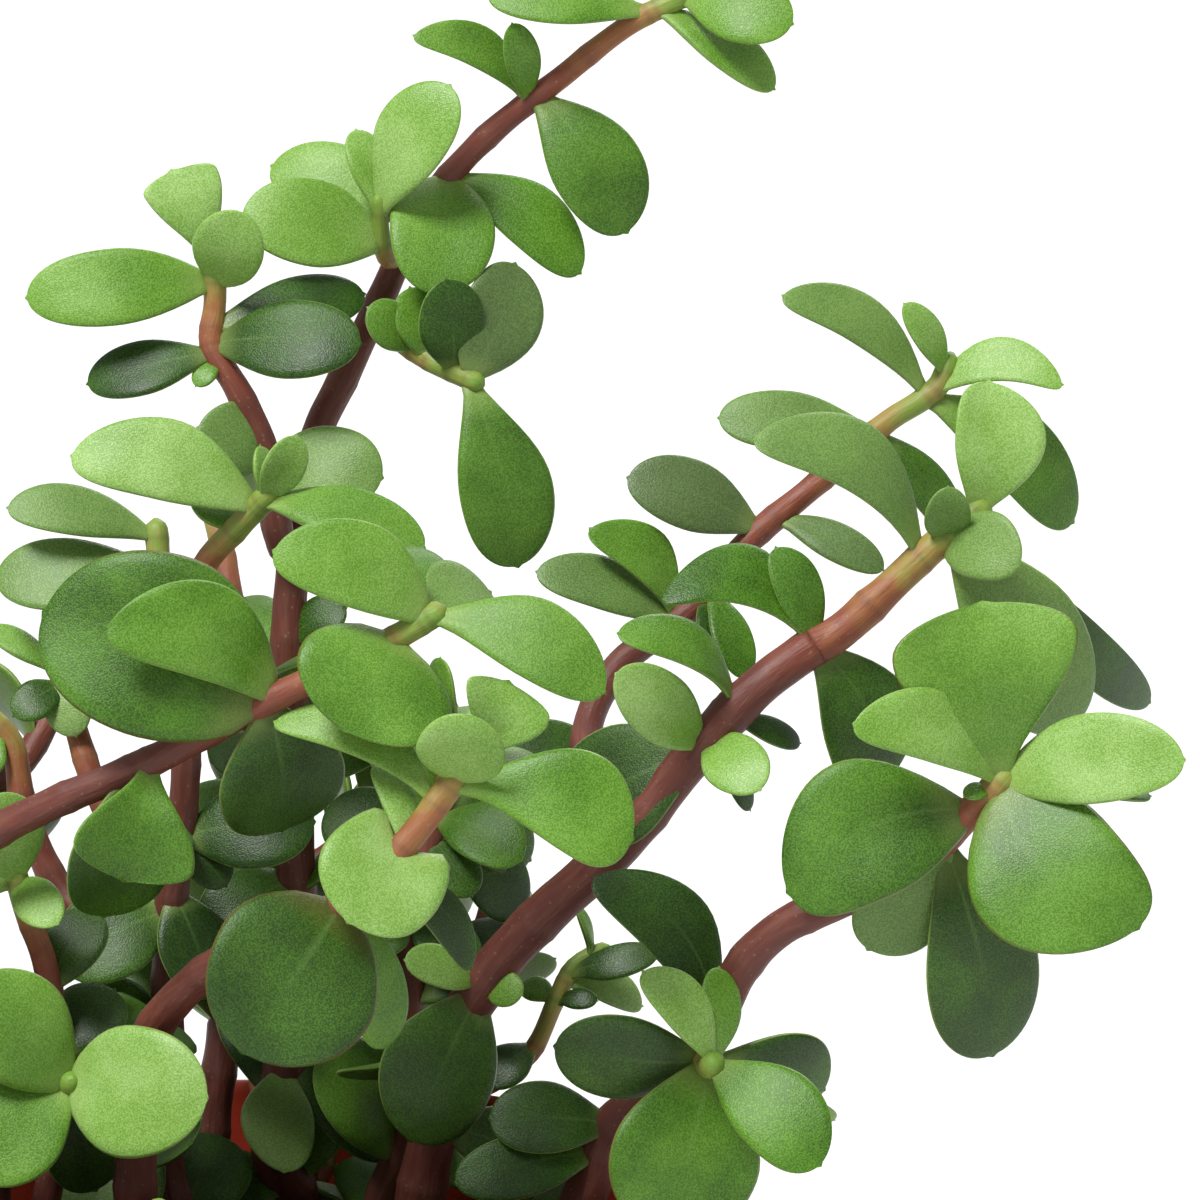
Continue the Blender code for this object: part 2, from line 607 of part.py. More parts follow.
def centre_back():
    """The stem hidden behind the front ones, whose leaves fill the middle of the bush."""
    upright = standing(
        13.5,
        9,
        [
            seen(40.6, 114, -8),
            seen(41, 100, -7),
            seen(41, 92, -7),
            seen(43, 84, -9),
            seen(45, 77, -11),
            seen(45.5, 71, -13),
        ],
        3.8,
        2.2,
    )
    twig = side_shoot(
        upright,
        [
            seen(47.5, 109, -9),
            seen(53, 105.4, -11),
            seen(55.6, 100, -12),
            seen(57.4, 96.6, -13),
            seen(61, 94.6, -14),
        ],
        2.2,
        1.6,
    )
    leaves = [
        seen_leaf(twig, (54, 105), (48.4, 108.4), 3, 5, 25),
        seen_leaf(twig, (55.8, 99.8), (59.7, 100.1), 2, 2.4, 30),
        seen_leaf(twig, (55.6, 99.8), (52.2, 98.4), -2, 3, 30),
        seen_leaf(twig, (56.4, 98.4), (64.2, 100.6), -3, 4, 25, sweep=-0.08),
        seen_leaf(twig, (57, 97.2), (65.8, 95.4), 2, 4, 30, sweep=0.03),
        seen_leaf(twig, (61, 94.8), (57.6, 90.6), 1, 2.4, 72),
        seen_leaf(upright, (45.2, 77), (58.6, 73.8), -3, 5.4, 25, sweep=-0.02),
        seen_leaf(upright, (41, 92), (47.4, 97), 3, 6.6, 30),
        seen_leaf(upright, (41, 92), (36, 95.4), 4, 5.8, 30),
        seen_leaf(upright, (43, 84), (47.2, 89.6), 4, 5.2, 25),
        seen_leaf(upright, (44, 81), (52, 91.6), -2, 7.4, 25),
        seen_leaf(upright, (42.6, 86), (32.6, 81), -2, 9, 25, round_=0.5),
        seen_leaf(upright, (44, 80.4), (53, 86), -3, 7.6, 22),
    ]
    rng = random.Random(12)
    leaves += leaf_pairs(upright, rng, 0.22, 1, 14, spacing=10 * MM)
    return [upright, twig], leaves


def left_low():
    """The two short shoots at the lower left of the pot."""
    upright = standing(
        -20,
        -13,
        [
            seen(5.6, 114, 14),
            seen(5.6, 104, 16),
            seen(4.4, 96, 17),
            seen(2.2, 90, 18),
            seen(1.4, 86.4, 18),
        ],
        3.4,
        2.2,
    )
    shoot = side_shoot(upright, [seen(5.6, 110, 18), seen(7.4, 107.8, 25)], 2.8, 2.2)
    leaves = [
        seen_leaf(upright, (2, 88), (-0.4, 79.4), 3, 7.6, 15),
        seen_leaf(upright, (2.4, 88), (5.8, 92.4), 6, 4.8, 10, round_=0.7),
        seen_leaf(upright, (2.2, 88), (-10, 87), 0, 8, 20),
        seen_leaf(upright, (5.6, 107), (9.6, 119), -2, 9, 20, round_=0.4),
        seen_leaf(upright, (5, 99.4), (9.4, 91), -4, 6.6, 20, round_=0.4),
        seen_leaf(upright, (5.6, 106), (11.4, 99), -4, 7.4, 20, round_=0.4),
        seen_leaf(shoot, (7.2, 108), (-4, 98.8), 3, 11, 12, sweep=0.04, round_=0.6),
        seen_leaf(shoot, (7.2, 108), (-3.4, 117.2), 4, 10.6, 12, round_=0.6),
        seen_leaf(shoot, (7.4, 107.6), (20.7, 109.8), 9, 13.2, 5, round_=0.8),
    ]
    rng = random.Random(3)
    leaves += leaf_pairs(upright, rng, 0.3, 0.8, 12)
    return [upright, shoot], leaves


def outer_stem(bearing, out, reach, rise, shoots, seed, length=14.5):
    """A leafy stem of the sides that the photograph doesn't show, grown by rule."""
    rng = random.Random(seed)
    main = leaning_stem(bearing, out, reach, rise, rng)
    branches = [main]
    outward = compass(bearing)
    leaves = leaf_pairs(main, rng, 0.24, 1, length, toward=outward)
    for place, turn, reach_of_shoot in shoots:
        shoot = leaning_shoot(main, place, turn, reach_of_shoot, rng)
        branches.append(shoot)
        leaves += leaf_pairs(shoot, rng, 0.45, 1, length * 0.9, toward=outward)
    return branches, leaves


def leafy_stems():
    """Every leafy stem by name, the ones from the photograph first."""
    return {
        "stem_right_leader": right_leader(),
        "stem_low_right": low_right(),
        "stem_top": top_stem(),
        "stem_left_front": left_front(),
        "stem_centre_front": centre_front(),
        "stem_left_middle": left_middle(),
        "stem_centre_back": centre_back(),
        "stem_left_low": left_low(),
        "stem_left": outer_stem(268, 34, 38, 62, [(0.55, 80, 24), (0.7, -90, 22)], 21),
        "stem_back_left": outer_stem(304, 32, 34, 84, [(0.5, 70, 28), (0.65, -80, 26)], 22),
        "stem_back": outer_stem(352, 33, 26, 70, [(0.5, 100, 26), (0.66, -80, 24)], 23),
        "stem_back_right": outer_stem(30, 34, 20, 40, [(0.6, -80, 22)], 24),
        "stem_left_rim": outer_stem(236, 35, 32, 34, [(0.6, 70, 22)], 25),
        "stem_front_rim": outer_stem(196, 29, 27, 16, [(0.66, 80, 14), (0.66, -80, 14)], 26),
        "stem_right_rim": outer_stem(142, 28, 25, 15, [], 27),
        "stem_back_rim": outer_stem(10, 28, 6, 18, [(0.4, 90, 12), (0.4, -90, 12)], 28),
    }


# Solids


def half_width(t, round_):
    """The leaf's outline: half its width along it, as a share of the largest, from fan to spoon to disc."""
    widest = LEAF_WIDEST - (0.1 if round_ > 0 else FAN_WIDEST) * round_
    if t < widest:
        return LEAF_NECK + (1 - LEAF_NECK) * math.sin(math.pi / 2 * t / widest) ** (1.3 - 0.75 * round_)
    return math.sqrt(max(0.0, 1 - ((t - widest) / (1 - widest)) ** 2.2))


def lobe(t, s, round_):
    """How far the edges near the root of a round leaf reach back past it, as a share of its length."""
    swell = t / LOBE_PLACE * math.exp(1 - t / LOBE_PLACE)
    return max(0.0, round_ - LOBED) / (1 - LOBED) * LOBE * s * s * swell


def blade_point(leaf, t, s, lift):
    """A point of the blade: t along it, s across it from -1 to 1, and lifted along its upper face."""
    length = leaf.tip - leaf.root
    side = length.normalized().cross(leaf.face)
    half = leaf.width / 2 * half_width(t, leaf.round)
    bow = length.length * 4 * t * (1 - t)
    rise = leaf.arch * bow + leaf.fold * half * s * s
    along = length * (t - lobe(t, s, leaf.round))
    return leaf.root + along + side * (half * s + leaf.sweep * bow) + leaf.face * (rise + lift)


RIM_STATIONS = (0, 0.34, 0.62, 0.87)
RIB_STATIONS = (0.3, 0.7)
GROWN_RIM_STATIONS = (0, 0.42, 0.82)
GROWN_RIB_STATIONS = (0.55,)


def leaf_mesh(leaf, extra=0.0):
    """A closed lens of few faces: the rim's points, and one or two points of the rib on either face."""
    wide = leaf._replace(width=leaf.width + 2 * extra)
    rim_stations = RIM_STATIONS if leaf.in_photo else GROWN_RIM_STATIONS
    rib_stations = RIB_STATIONS if leaf.in_photo else GROWN_RIB_STATIONS
    right = [blade_point(wide, t, 1, 0) for t in rim_stations]
    left = [blade_point(wide, t, -1, 0) for t in rim_stations]
    points = right + [blade_point(wide, 1, 0, 0)] + left[::-1]
    last = len(points)
    faces = []
    for lift in (1, -1):
        low, high = len(points), len(points) + len(rib_stations) - 1
        points += [blade_point(wide, t, 0, lift * (LEAF_THICKNESS / 2 + extra)) for t in rib_stations]
        side = [(last - 2, last - 1, low), (last - 1, 0, low), (0, 1, low)]
        side += [(k, k + 1, high) for k in range(1, last - 2)]
        if high > low:
            side += [(1, high, low), (high, last - 2, low)]
        faces += [corners[::lift] for corners in side]
    return points, faces


def ring_places(line, longest=BARK_STEP, most_turn=0.22):
    """Where a tube has its rings: closer together where the line bends."""
    places = [0]
    for i in range(1, len(line) - 1):
        turned_by = forward(line, places[-1]).angle(forward(line, i))
        if (i - places[-1]) * LINE_STEP >= longest or turned_by > most_turn:
            places.append(i)
    return places + [len(line) - 1]


def tube_mesh(on, extra=0.0, sides=BARK_SIDES):
    """A closed tapering tube along a branch, with round rings carried along it without twist."""
    side = across_to(Vector((0.3, 1, 0.1)), forward(on.line, 0))
    points, faces = [], []
    for ring, i in enumerate(ring_places(on.line)):
        ahead = forward(on.line, i)
        side = across_to(side, ahead)
        other = ahead.cross(side)
        for k in range(sides):
            angle = 2 * math.pi * k / sides
            spoke = side * math.cos(angle) + other * math.sin(angle)
            points.append(on.line[i] + spoke * (on.radii[i] + extra))
        if ring:
            low, high = (ring - 1) * sides, ring * sides
            for k in range(sides):
                n = (k + 1) % sides
                faces.append((low + k, low + n, high + n, high + k))
    faces.append(tuple(range(sides))[::-1])
    faces.append(tuple(range(len(points) - sides, len(points))))
    return points, faces


def tree(mesh):
    """A search tree over a mesh's faces, to test it against others."""
    return BVHTree.FromPolygons(*mesh)


def turned_leaf(leaf, degrees, share):
    """The leaf turned about its own face and shortened, both about its root."""
    turn = Matrix.Rotation(math.radians(degrees), 3, leaf.face)
    tip = leaf.root + turn @ (leaf.tip - leaf.root) * share
    return leaf._replace(tip=tip, width=leaf.width * share)


def bent_leaf(leaf, nearer):
    """The leaf with its tip moved along the line of sight, so that it looks the same from the eye."""
    ray = (leaf.tip - EYE).normalized()
    tip = leaf.tip - ray * nearer * MM
    return leaf._replace(tip=tip, face=across_to(leaf.face, (tip - leaf.root).normalized()))


def variants(leaf):
    """The leaf as it is, and then the ways in which it may be bent clear of another stem."""
    yield leaf
    if leaf.in_photo:
        for nearer in (3, -3, 6, -6, 9, -9, 12, -12):
            yield bent_leaf(leaf, nearer)
    else:
        for degrees in (18, -18, 36, -36):
            for share in (1, 0.8):
                yield turned_leaf(leaf, degrees, share)


def crosses(shape, leaf, name, other):
    """Whether a leaf crosses one already placed. Blades of one stem may meet near their roots."""
    other_name, other_leaf, other_tree = other
    middle, other_middle = (leaf.root + leaf.tip) / 2, (other_leaf.root + other_leaf.tip) / 2
    reach = (leaf.tip - leaf.root).length + (other_leaf.tip - other_leaf.root).length
    if (middle - other_middle).length > reach:
        return False
    if other_name == name and (leaf.in_photo or (other_leaf.root - leaf.root).length < 2 * MM):
        return False
    return bool(shape.overlap(other_tree))


def clear_of_pot(leaf):
    """Whether a blade stays off the pot and the soil: above the rim, outside it, or over the soil."""
    for along in range(1, 10):
        for across in (-1, -0.5, 0, 0.5, 1):
            spot = blade_point(leaf, along / 9, across, 0)
            radius = math.hypot(spot.x, spot.y)
            if spot.z > POT_HEIGHT + POT_MARGIN or radius > POT_RADIUS + POT_MARGIN:
                continue
            if radius > POT_RADIUS - 2 * LIP_RADIUS - POT_MARGIN or spot.z < SOIL_TOP + POT_MARGIN:
                return False
    return True


def spoils_view(leaf):
    """Whether a grown blade would be seen in an open place of the photograph, or before its near stems."""
    for along in range(1, 9):
        for across in (-1, 0, 1):
            spot = blade_point(leaf, along / 8, across, 0)
            place = in_picture(spot)
            if spot.y < NEAR_SIDE and 0 < place.x < PICTURE / MM and place.y < PICTURE / MM:
                return True
            if any((place - Vector(spot_seen)).length < radius for spot_seen, radius in OPEN_PLACES):
                return True
    return False


def first_clear(leaf, name, placed, barks):
    """The first variant of a leaf that is clear of the other stems and of their leaves, or nothing."""
    others = [bark for other, trees in barks.items() if other != name for bark in trees]
    for option in variants(leaf):
        if not clear_of_pot(option) or (not option.in_photo and spoils_view(option)):
            continue
        shape = tree(leaf_mesh(option, LEAF_CLEARANCE))
        if any(shape.overlap(bark) for bark in others):
            continue
        if not any(crosses(shape, option, name, other) for other in placed):
            return option
    return None


def arranged(stems):
    """Each stem's leaves, bent clear of the other stems. One with no clear place is left out."""
    barks = {}
    for name, (branches, _) in stems.items():
        barks[name] = [tree(tube_mesh(on, LEAF_CLEARANCE)) for on in branches]
    placed = []
    kept = {name: [] for name in stems}
    for in_photo in (True, False):
        for name, (_, leaves) in stems.items():
            for leaf in leaves:
                found = first_clear(leaf, name, placed, barks) if leaf.in_photo == in_photo else None
                if found:
                    kept[name].append(found)
                    placed.append((name, found, tree(leaf_mesh(found))))
    return kept


def material(name, colour, roughness):
    """A plain material with one colour."""
    made = bpy.data.materials.new(name)
    made.use_nodes = True
    shader = made.node_tree.nodes["Principled BSDF"]
    shader.inputs["Base Color"].default_value = (*colour, 1)
    shader.inputs["Roughness"].default_value = roughness
    shader.inputs["Metallic"].default_value = 0
    made.diffuse_color = (*colour, 1)
    return made


def object_of(name, mesh, finish):
    """An object from points and faces, linked to the scene."""
    data = bpy.data.meshes.new(name)
    data.from_pydata([tuple(p) for p in mesh[0]], [], mesh[1])
    data.materials.append(finish)
    data.shade_smooth()
    made = bpy.data.objects.new(name, data)
    bpy.context.scene.collection.objects.link(made)
    return made


def apply_boolean(target, operation, others, solver):
    """Joins the others to the target, or cuts them from it, and removes them."""
    group = bpy.data.collections.new(target.name + "_" + operation.lower())
    bpy.context.scene.collection.children.link(group)
    for other in others:
        bpy.context.scene.collection.objects.unlink(other)
        group.objects.link(other)
    boolean = target.modifiers.new("Boolean", "BOOLEAN")
    boolean.operation = operation
    boolean.operand_type = "COLLECTION"
    boolean.collection = group
    boolean.solver = solver
    graph = bpy.context.evaluated_depsgraph_get()
    joined = bpy.data.meshes.new_from_object(target.evaluated_get(graph))
    target.modifiers.clear()
    target.data = joined
    for other in others:
        bpy.data.objects.remove(other)
    bpy.data.collections.remove(group)


def turned(name, profile, segments, finish):
    """A solid turned round the vertical axis from a closed profile of (radius, height) points."""
    mesh = bpy.data.meshes.new(name)
    bm = bmesh.new()
    corners = [bm.verts.new((r, 0, z)) for r, z in profile]
    edges = [bm.edges.new(pair) for pair in zip(corners, corners[1:])]
    bmesh.ops.spin(
        bm,
        geom=corners + edges,
        axis=(0, 0, 1),
        cent=(0, 0, 0),
        angle=2 * math.pi,
        steps=segments,
        use_merge=True,
    )
    bmesh.ops.remove_doubles(bm, verts=bm.verts, dist=0.01 * MM)
    bmesh.ops.recalc_face_normals(bm, faces=bm.faces)
    bm.to_mesh(mesh)
    bm.free()
    mesh.materials.append(finish)
    mesh.shade_smooth()
    mesh.set_sharp_from_angle(angle=SHARP_ANGLE)
    made = bpy.data.objects.new(name, mesh)
    bpy.context.scene.collection.objects.link(made)
    return made


def cylinder(name, x, y, low, high, radius, sides, finish):
    """An upright cylinder that serves as a cutter."""
    bm = bmesh.new()
    spot = Matrix.Translation((x, y, (low + high) / 2))
    bmesh.ops.create_cone(
        bm,
        cap_ends=True,
        segments=sides,
        radius1=radius,
        radius2=radius,
        depth=high - low,
        matrix=spot,
    )
    mesh = bpy.data.meshes.new(name)
    bm.to_mesh(mesh)
    bm.free()
    mesh.materials.append(finish)
    made = bpy.data.objects.new(name, mesh)
    made.hide_render = True
    made.display_type = "WIRE"
    bpy.context.scene.collection.objects.link(made)
    return made


def wall_radius(z):
    """The outer radius of the pot's wall below its band."""
    return POT_BASE_RADIUS + (POT_RADIUS - BAND_STEP - POT_BASE_RADIUS) * z / POT_HEIGHT


def build_pot():
    """A tapering pot with a stepped band at the rim, a rounded lip and a flat base with drain holes."""
    finish = material("pot_plastic", (0.27, 0.022, 0.010), 0.5)
    band_low = POT_HEIGHT - BAND_HEIGHT
    profile = [
        (0, 0),
        (POT_BASE_RADIUS - FOOT_CHAMFER, 0),
        (wall_radius(FOOT_CHAMFER), FOOT_CHAMFER),
        (wall_radius(band_low - BAND_STEP), band_low - BAND_STEP),
        (POT_RADIUS - BAND_CHAMFER, band_low),
        (POT_RADIUS, band_low + BAND_CHAMFER),
    ]
    centre = POT_RADIUS - LIP_RADIUS
    for k in range(5):
        angle = math.pi * k / 4
        profile.append(
            (centre + LIP_RADIUS * math.cos(angle), POT_HEIGHT - LIP_RADIUS * (1 - math.sin(angle)))
        )
    profile += [
        (centre - LIP_RADIUS, band_low),
        (wall_radius(band_low - BAND_STEP) - POT_WALL, band_low - BAND_STEP - INNER_SHOULDER),
        (wall_radius(POT_FLOOR) - POT_WALL, POT_FLOOR),
        (0, POT_FLOOR),
    ]
    pot = turned("pot", profile, POT_SEGMENTS, finish)
    cutters = []
    for k in range(DRAIN_HOLES):
        angle = 2 * math.pi * (k + 0.5) / DRAIN_HOLES
        x, y = DRAIN_CIRCLE * math.cos(angle), DRAIN_CIRCLE * math.sin(angle)
        cutters.append(
            cylinder(f"drain_{k}", x, y, -POT_FLOOR, 2 * POT_FLOOR, DRAIN_RADIUS, DRAIN_SIDES, finish)
        )
    apply_boolean(pot, "DIFFERENCE", cutters, "EXACT")


def build_soil(stems):
    """The soil that fills the pot to a little below its rim, with a plain hole for each stem's foot."""
    finish = material("soil", (0.035, 0.022, 0.014), 0.95)
    low = POT_FLOOR + GAP
    band_low = POT_HEIGHT - BAND_HEIGHT
    bend = band_low - BAND_STEP - INNER_SHOULDER
    bend_radius = wall_radius(band_low - BAND_STEP) - POT_WALL - GAP
    profile = [
        (0, low),
        (wall_radius(POT_FLOOR) - POT_WALL - GAP, low),
        (bend_radius, bend),
        (bend_radius, SOIL_TOP - SOIL_DOME),
        (bend_radius * 0.6, SOIL_TOP - 0.3 * SOIL_DOME),
        (0, SOIL_TOP),
    ]
    soil = turned("soil", profile, SOIL_SEGMENTS, finish)
    cutters = []
    for name, (branches, _) in stems.items():
        foot = branches[0].line[0]
        radius = (branches[0].radii[0] + GAP) / math.cos(math.pi / HOLE_SIDES)
        low, high = SOIL_TOP - ROOT_DEPTH - GAP, SOIL_TOP + ROOT_DEPTH
        cutters.append(cylinder(name + "_hole", foot.x, foot.y, low, high, radius, HOLE_SIDES, finish))
    apply_boolean(soil, "DIFFERENCE", cutters, "EXACT")


def build_stem(name, branches, leaves, finish):
    """One leafy stem: its bark, with its branches and leaves joined to it as one solid."""
    stem = object_of(name, tube_mesh(branches[0]), finish)
    repeats = []
    for k, on in enumerate(branches[1:]):
        repeats.append(object_of(f"{name}_branch_{k}", tube_mesh(on), finish))
    for k, leaf in enumerate(leaves):
        repeats.append(object_of(f"{name}_leaf_{k}", leaf_mesh(leaf), finish))
    apply_boolean(stem, "UNION", repeats, "MANIFOLD")
    stem.data.set_sharp_from_angle(angle=SHARP_ANGLE)


def main():
    for old in list(bpy.data.objects):
        bpy.data.objects.remove(old)
    build_pot()
    stems = leafy_stems()
    build_soil(stems)
    leaf_green = material("leaf", (0.075, 0.19, 0.035), 0.45)
    for name, leaves in arranged(stems).items():
        build_stem(name, stems[name][0], leaves, leaf_green)


main()
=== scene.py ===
"""The finished look of the potted elephant bush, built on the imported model.

Metres, +Z up, the origin at the centre of the pot's flat underside; the camera looks along +Y from a
little above. The leafy stems grow by the same rule as the solids that they replace, as smooth bark and
fleshy blades. Pot, soil and floor follow, then the materials, the light and the camera.
"""

import math
import random
from collections import namedtuple
from functools import partial

import bmesh
import bpy
import numpy as np
from mathutils import Matrix, Vector, noise
from mathutils.bvhtree import BVHTree


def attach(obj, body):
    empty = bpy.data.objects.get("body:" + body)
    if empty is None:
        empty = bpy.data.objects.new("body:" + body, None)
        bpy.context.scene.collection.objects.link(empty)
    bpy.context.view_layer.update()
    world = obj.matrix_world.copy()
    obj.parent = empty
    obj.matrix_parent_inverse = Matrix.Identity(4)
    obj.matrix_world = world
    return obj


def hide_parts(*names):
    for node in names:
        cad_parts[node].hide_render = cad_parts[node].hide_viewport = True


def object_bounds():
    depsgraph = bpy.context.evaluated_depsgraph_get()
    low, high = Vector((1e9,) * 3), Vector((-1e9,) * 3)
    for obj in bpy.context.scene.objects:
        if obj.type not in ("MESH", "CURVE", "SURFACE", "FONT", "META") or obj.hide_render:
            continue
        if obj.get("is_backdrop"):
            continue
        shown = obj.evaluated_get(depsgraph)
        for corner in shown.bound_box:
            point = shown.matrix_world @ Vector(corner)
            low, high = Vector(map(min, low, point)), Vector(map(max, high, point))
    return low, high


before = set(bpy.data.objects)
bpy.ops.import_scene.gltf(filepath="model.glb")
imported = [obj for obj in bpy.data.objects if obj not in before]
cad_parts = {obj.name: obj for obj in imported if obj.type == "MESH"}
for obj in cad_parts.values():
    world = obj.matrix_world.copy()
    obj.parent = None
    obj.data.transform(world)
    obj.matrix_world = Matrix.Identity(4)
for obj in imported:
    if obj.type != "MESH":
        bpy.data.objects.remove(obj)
cad_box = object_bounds()

MM = 0.001

# Pot
POT_HEIGHT = 87 * MM
POT_RADIUS = 45 * MM
POT_BASE_RADIUS = 33 * MM
POT_WALL = 1.6 * MM
POT_FLOOR = 2.4 * MM
BAND_HEIGHT = 13 * MM
BAND_STEP = 1.8 * MM
LIP_RADIUS = 1.0 * MM
FOOT_CHAMFER = 1.5 * MM
BAND_CHAMFER = 0.6 * MM
INNER_SHOULDER = 1.0 * MM
CORNER_RADIUS = 0.7 * MM
CREASE_ANGLE = math.radians(50)
BAND_LOW = POT_HEIGHT - BAND_HEIGHT
SOIL_BEND = BAND_LOW - BAND_STEP - INNER_SHOULDER
DRAIN_HOLES = 6
DRAIN_RADIUS = 3.5 * MM
DRAIN_SIDES = 32
DRAIN_CIRCLE = 22 * MM

# Soil
SOIL_TOP = 77 * MM
SOIL_DOME = 1.5 * MM
GAP = 0.3 * MM
ROOT_DEPTH = 14 * MM

# The picture plane: an upright square through the pot's axis, seen from a little above
PICTURE = 120 * MM
PICTURE_CENTRE = Vector((36 * MM, 0, 146 * MM))
VIEW_DISTANCE = 1.0
VIEW_FALL = math.radians(10)
VIEW_LINE = Vector((0, math.cos(VIEW_FALL), -math.sin(VIEW_FALL)))
VIEW_UP = Vector((0, math.sin(VIEW_FALL), math.cos(VIEW_FALL)))
EYE = PICTURE_CENTRE - VIEW_DISTANCE * VIEW_LINE

TO_FRONT = Vector((0, -1, 0))
SIDEWAYS = Vector((0.3, 1, 0.1))

# Stems and leaves
LINE_STEP = 1 * MM
BARK_STEP = 10 * MM
BARK_TURN = 0.22
BARK_SIDES = 6
LEAF_THICKNESS = 1.7 * MM
LEAF_NECK = 0.14
LEAF_WIDEST = 0.6
DISC_WIDEST = 0.1
FAN_WIDEST = 0.3
LOBED = 0.9
LOBE = 0.3
LOBE_PLACE = 0.12
LEAF_CLEARANCE = 0.45 * MM
POT_MARGIN = 1.3 * MM
PAIR_SPACING = 12 * MM
END_MARGIN = 2  # steps of a branch's line that stay bare at its end, so that its last leaves join it

# What keeps grown leaves out of sight: how far in front is too near, and the places of the picture, each
# across, down and with a radius, where the white or the pot's far wall shows through the bush
NEAR_SIDE = -14 * MM
OPEN_PLACES = (
    (24.5, 112.5, 2.4), (22.8, 109.8, 2.4), (24.4, 58, 2), (9.4, 53.4, 1.6), (12, 53.6, 1.6),
    (10.6, 74.1, 1.6), (5.8, 76.4, 2.2), (37, 61.8, 1.6), (18.9, 51.2, 1.4), (52.1, 101.7, 2.2),
    (54.2, 107.6, 2.4), (58.2, 93.6, 1.6), (61.3, 91.8, 2.6), (56.8, 101.9, 1.4), (54, 86.8, 1.2),
    (51.4, 88.2, 1), (75, 63.6, 2.6), (80.6, 74, 2), (28, 39.5, 3.4), (60.3, 110.3, 1), (21.6, 79.6, 0.9),
    (17.2, 78.7, 0.8), (0.8, 93.5, 1.2), (2, 61.6, 1.4), (2, 65.5, 1), (60.6, 62.7, 2.6),
    (48.5, 67.2, 3.4), (28.7, 39.2, 2.4),
)

# How light a leaf stands out in the photograph, from -1 to 1
# These tones are partly each leaf's own colour and partly painted light and shade, drawing how lit or shaded
# a leaf looks
DARK, DULL, LIGHT = -0.75, -0.3, 0.5

# Ranges of the arch, fold, sweep and disc of a grown leaf
GROWN_FORMS = ((0.02, 0.12), (-0.05, 0.15), (-0.06, 0.06), (0, 0.5))
OUTER_LENGTH = 14.5  # of the leaves of the outer stems, in millimetres

Leaf = namedtuple(
    "Leaf",
    "root tip face width in_photo arch fold sweep disc tone grey",
    defaults=(0.08, 0.05, 0.0, 0.2, None, False),
)
Branch = namedtuple("Branch", "line radii")


def seen(across, down, ahead):
    """The point seen these millimetres from the picture's left and top edges, that far before the axis."""
    sideways = Vector((across * MM - PICTURE / 2, 0, 0))
    spot = PICTURE_CENTRE + sideways + VIEW_UP * (PICTURE / 2 - down * MM)
    ray = spot - EYE
    return EYE + ray * ((-ahead * MM - EYE.y) / ray.y)


def through(*places):
    """The points seen at these places of the picture."""
    return [seen(*place) for place in places]


def in_picture(point):
    """Where a point is seen: millimetres from the picture's left and top edges."""
    ray = point - EYE
    spot = ray * (VIEW_DISTANCE / ray.dot(VIEW_LINE)) + EYE - PICTURE_CENTRE
    return Vector(((spot.x + PICTURE / 2) / MM, (PICTURE / 2 - spot.dot(VIEW_UP)) / MM))


def smooth_line(points):
    """Evenly spaced points on a smooth curve through the given ones."""
    spans = [(b - a).length for a, b in zip(points, points[1:])]
    slopes = [(points[1] - points[0]) / spans[0]]
    for i in range(1, len(points) - 1):
        before = (points[i] - points[i - 1]) / spans[i - 1]
        after = (points[i + 1] - points[i]) / spans[i]
        slopes.append((before * spans[i] + after * spans[i - 1]) / (spans[i] + spans[i - 1]))
    slopes.append((points[-1] - points[-2]) / spans[-1])
    line = [points[0]]
    for i, span in enumerate(spans):
        count = max(1, round(span / LINE_STEP))
        for k in range(1, count + 1):
            t = k / count
            line.append(
                points[i] * (2 * t**3 - 3 * t**2 + 1)
                + slopes[i] * span * (t**3 - 2 * t**2 + t)
                + points[i + 1] * (3 * t**2 - 2 * t**3)
                + slopes[i + 1] * span * (t**3 - t**2)
            )
    return line


def branch(thick, thin, points):
    """A branch through these points, with its first and last diameters in millimetres."""
    line = smooth_line(points)
    last = len(line) - 1
    radii = [(thick + (thin - thick) * i / last) * MM / 2 for i in range(last + 1)]
    return Branch(line, radii)


def standing(foot_x, foot_y, thick, thin, points):
    """A branch that stands upright in the soil at its foot and then runs through the given points."""
    foot = Vector((foot_x * MM, foot_y * MM, SOIL_TOP))
    heights = (-ROOT_DEPTH, -ROOT_DEPTH / 2, 0, 5 * MM)
    return branch(thick, thin, [foot + Vector((0, 0, h)) for h in heights] + points)


def side_shoot(parent, thick, thin, points):
    """A branch that starts inside its parent, at the point of it nearest to where the shoot begins."""
    start = min(parent.line, key=lambda p: (p - points[0]).length)
    return branch(thick, thin, [start] + points)


def forward(line, i):
    """The direction in which a branch runs at its point i."""
    return (line[min(i + 2, len(line) - 1)] - line[max(i - 2, 0)]).normalized()


def across_to(direction, line):
    """The part of a direction that is square to a line, as a unit vector."""
    return (direction - line * direction.dot(line)).normalized()


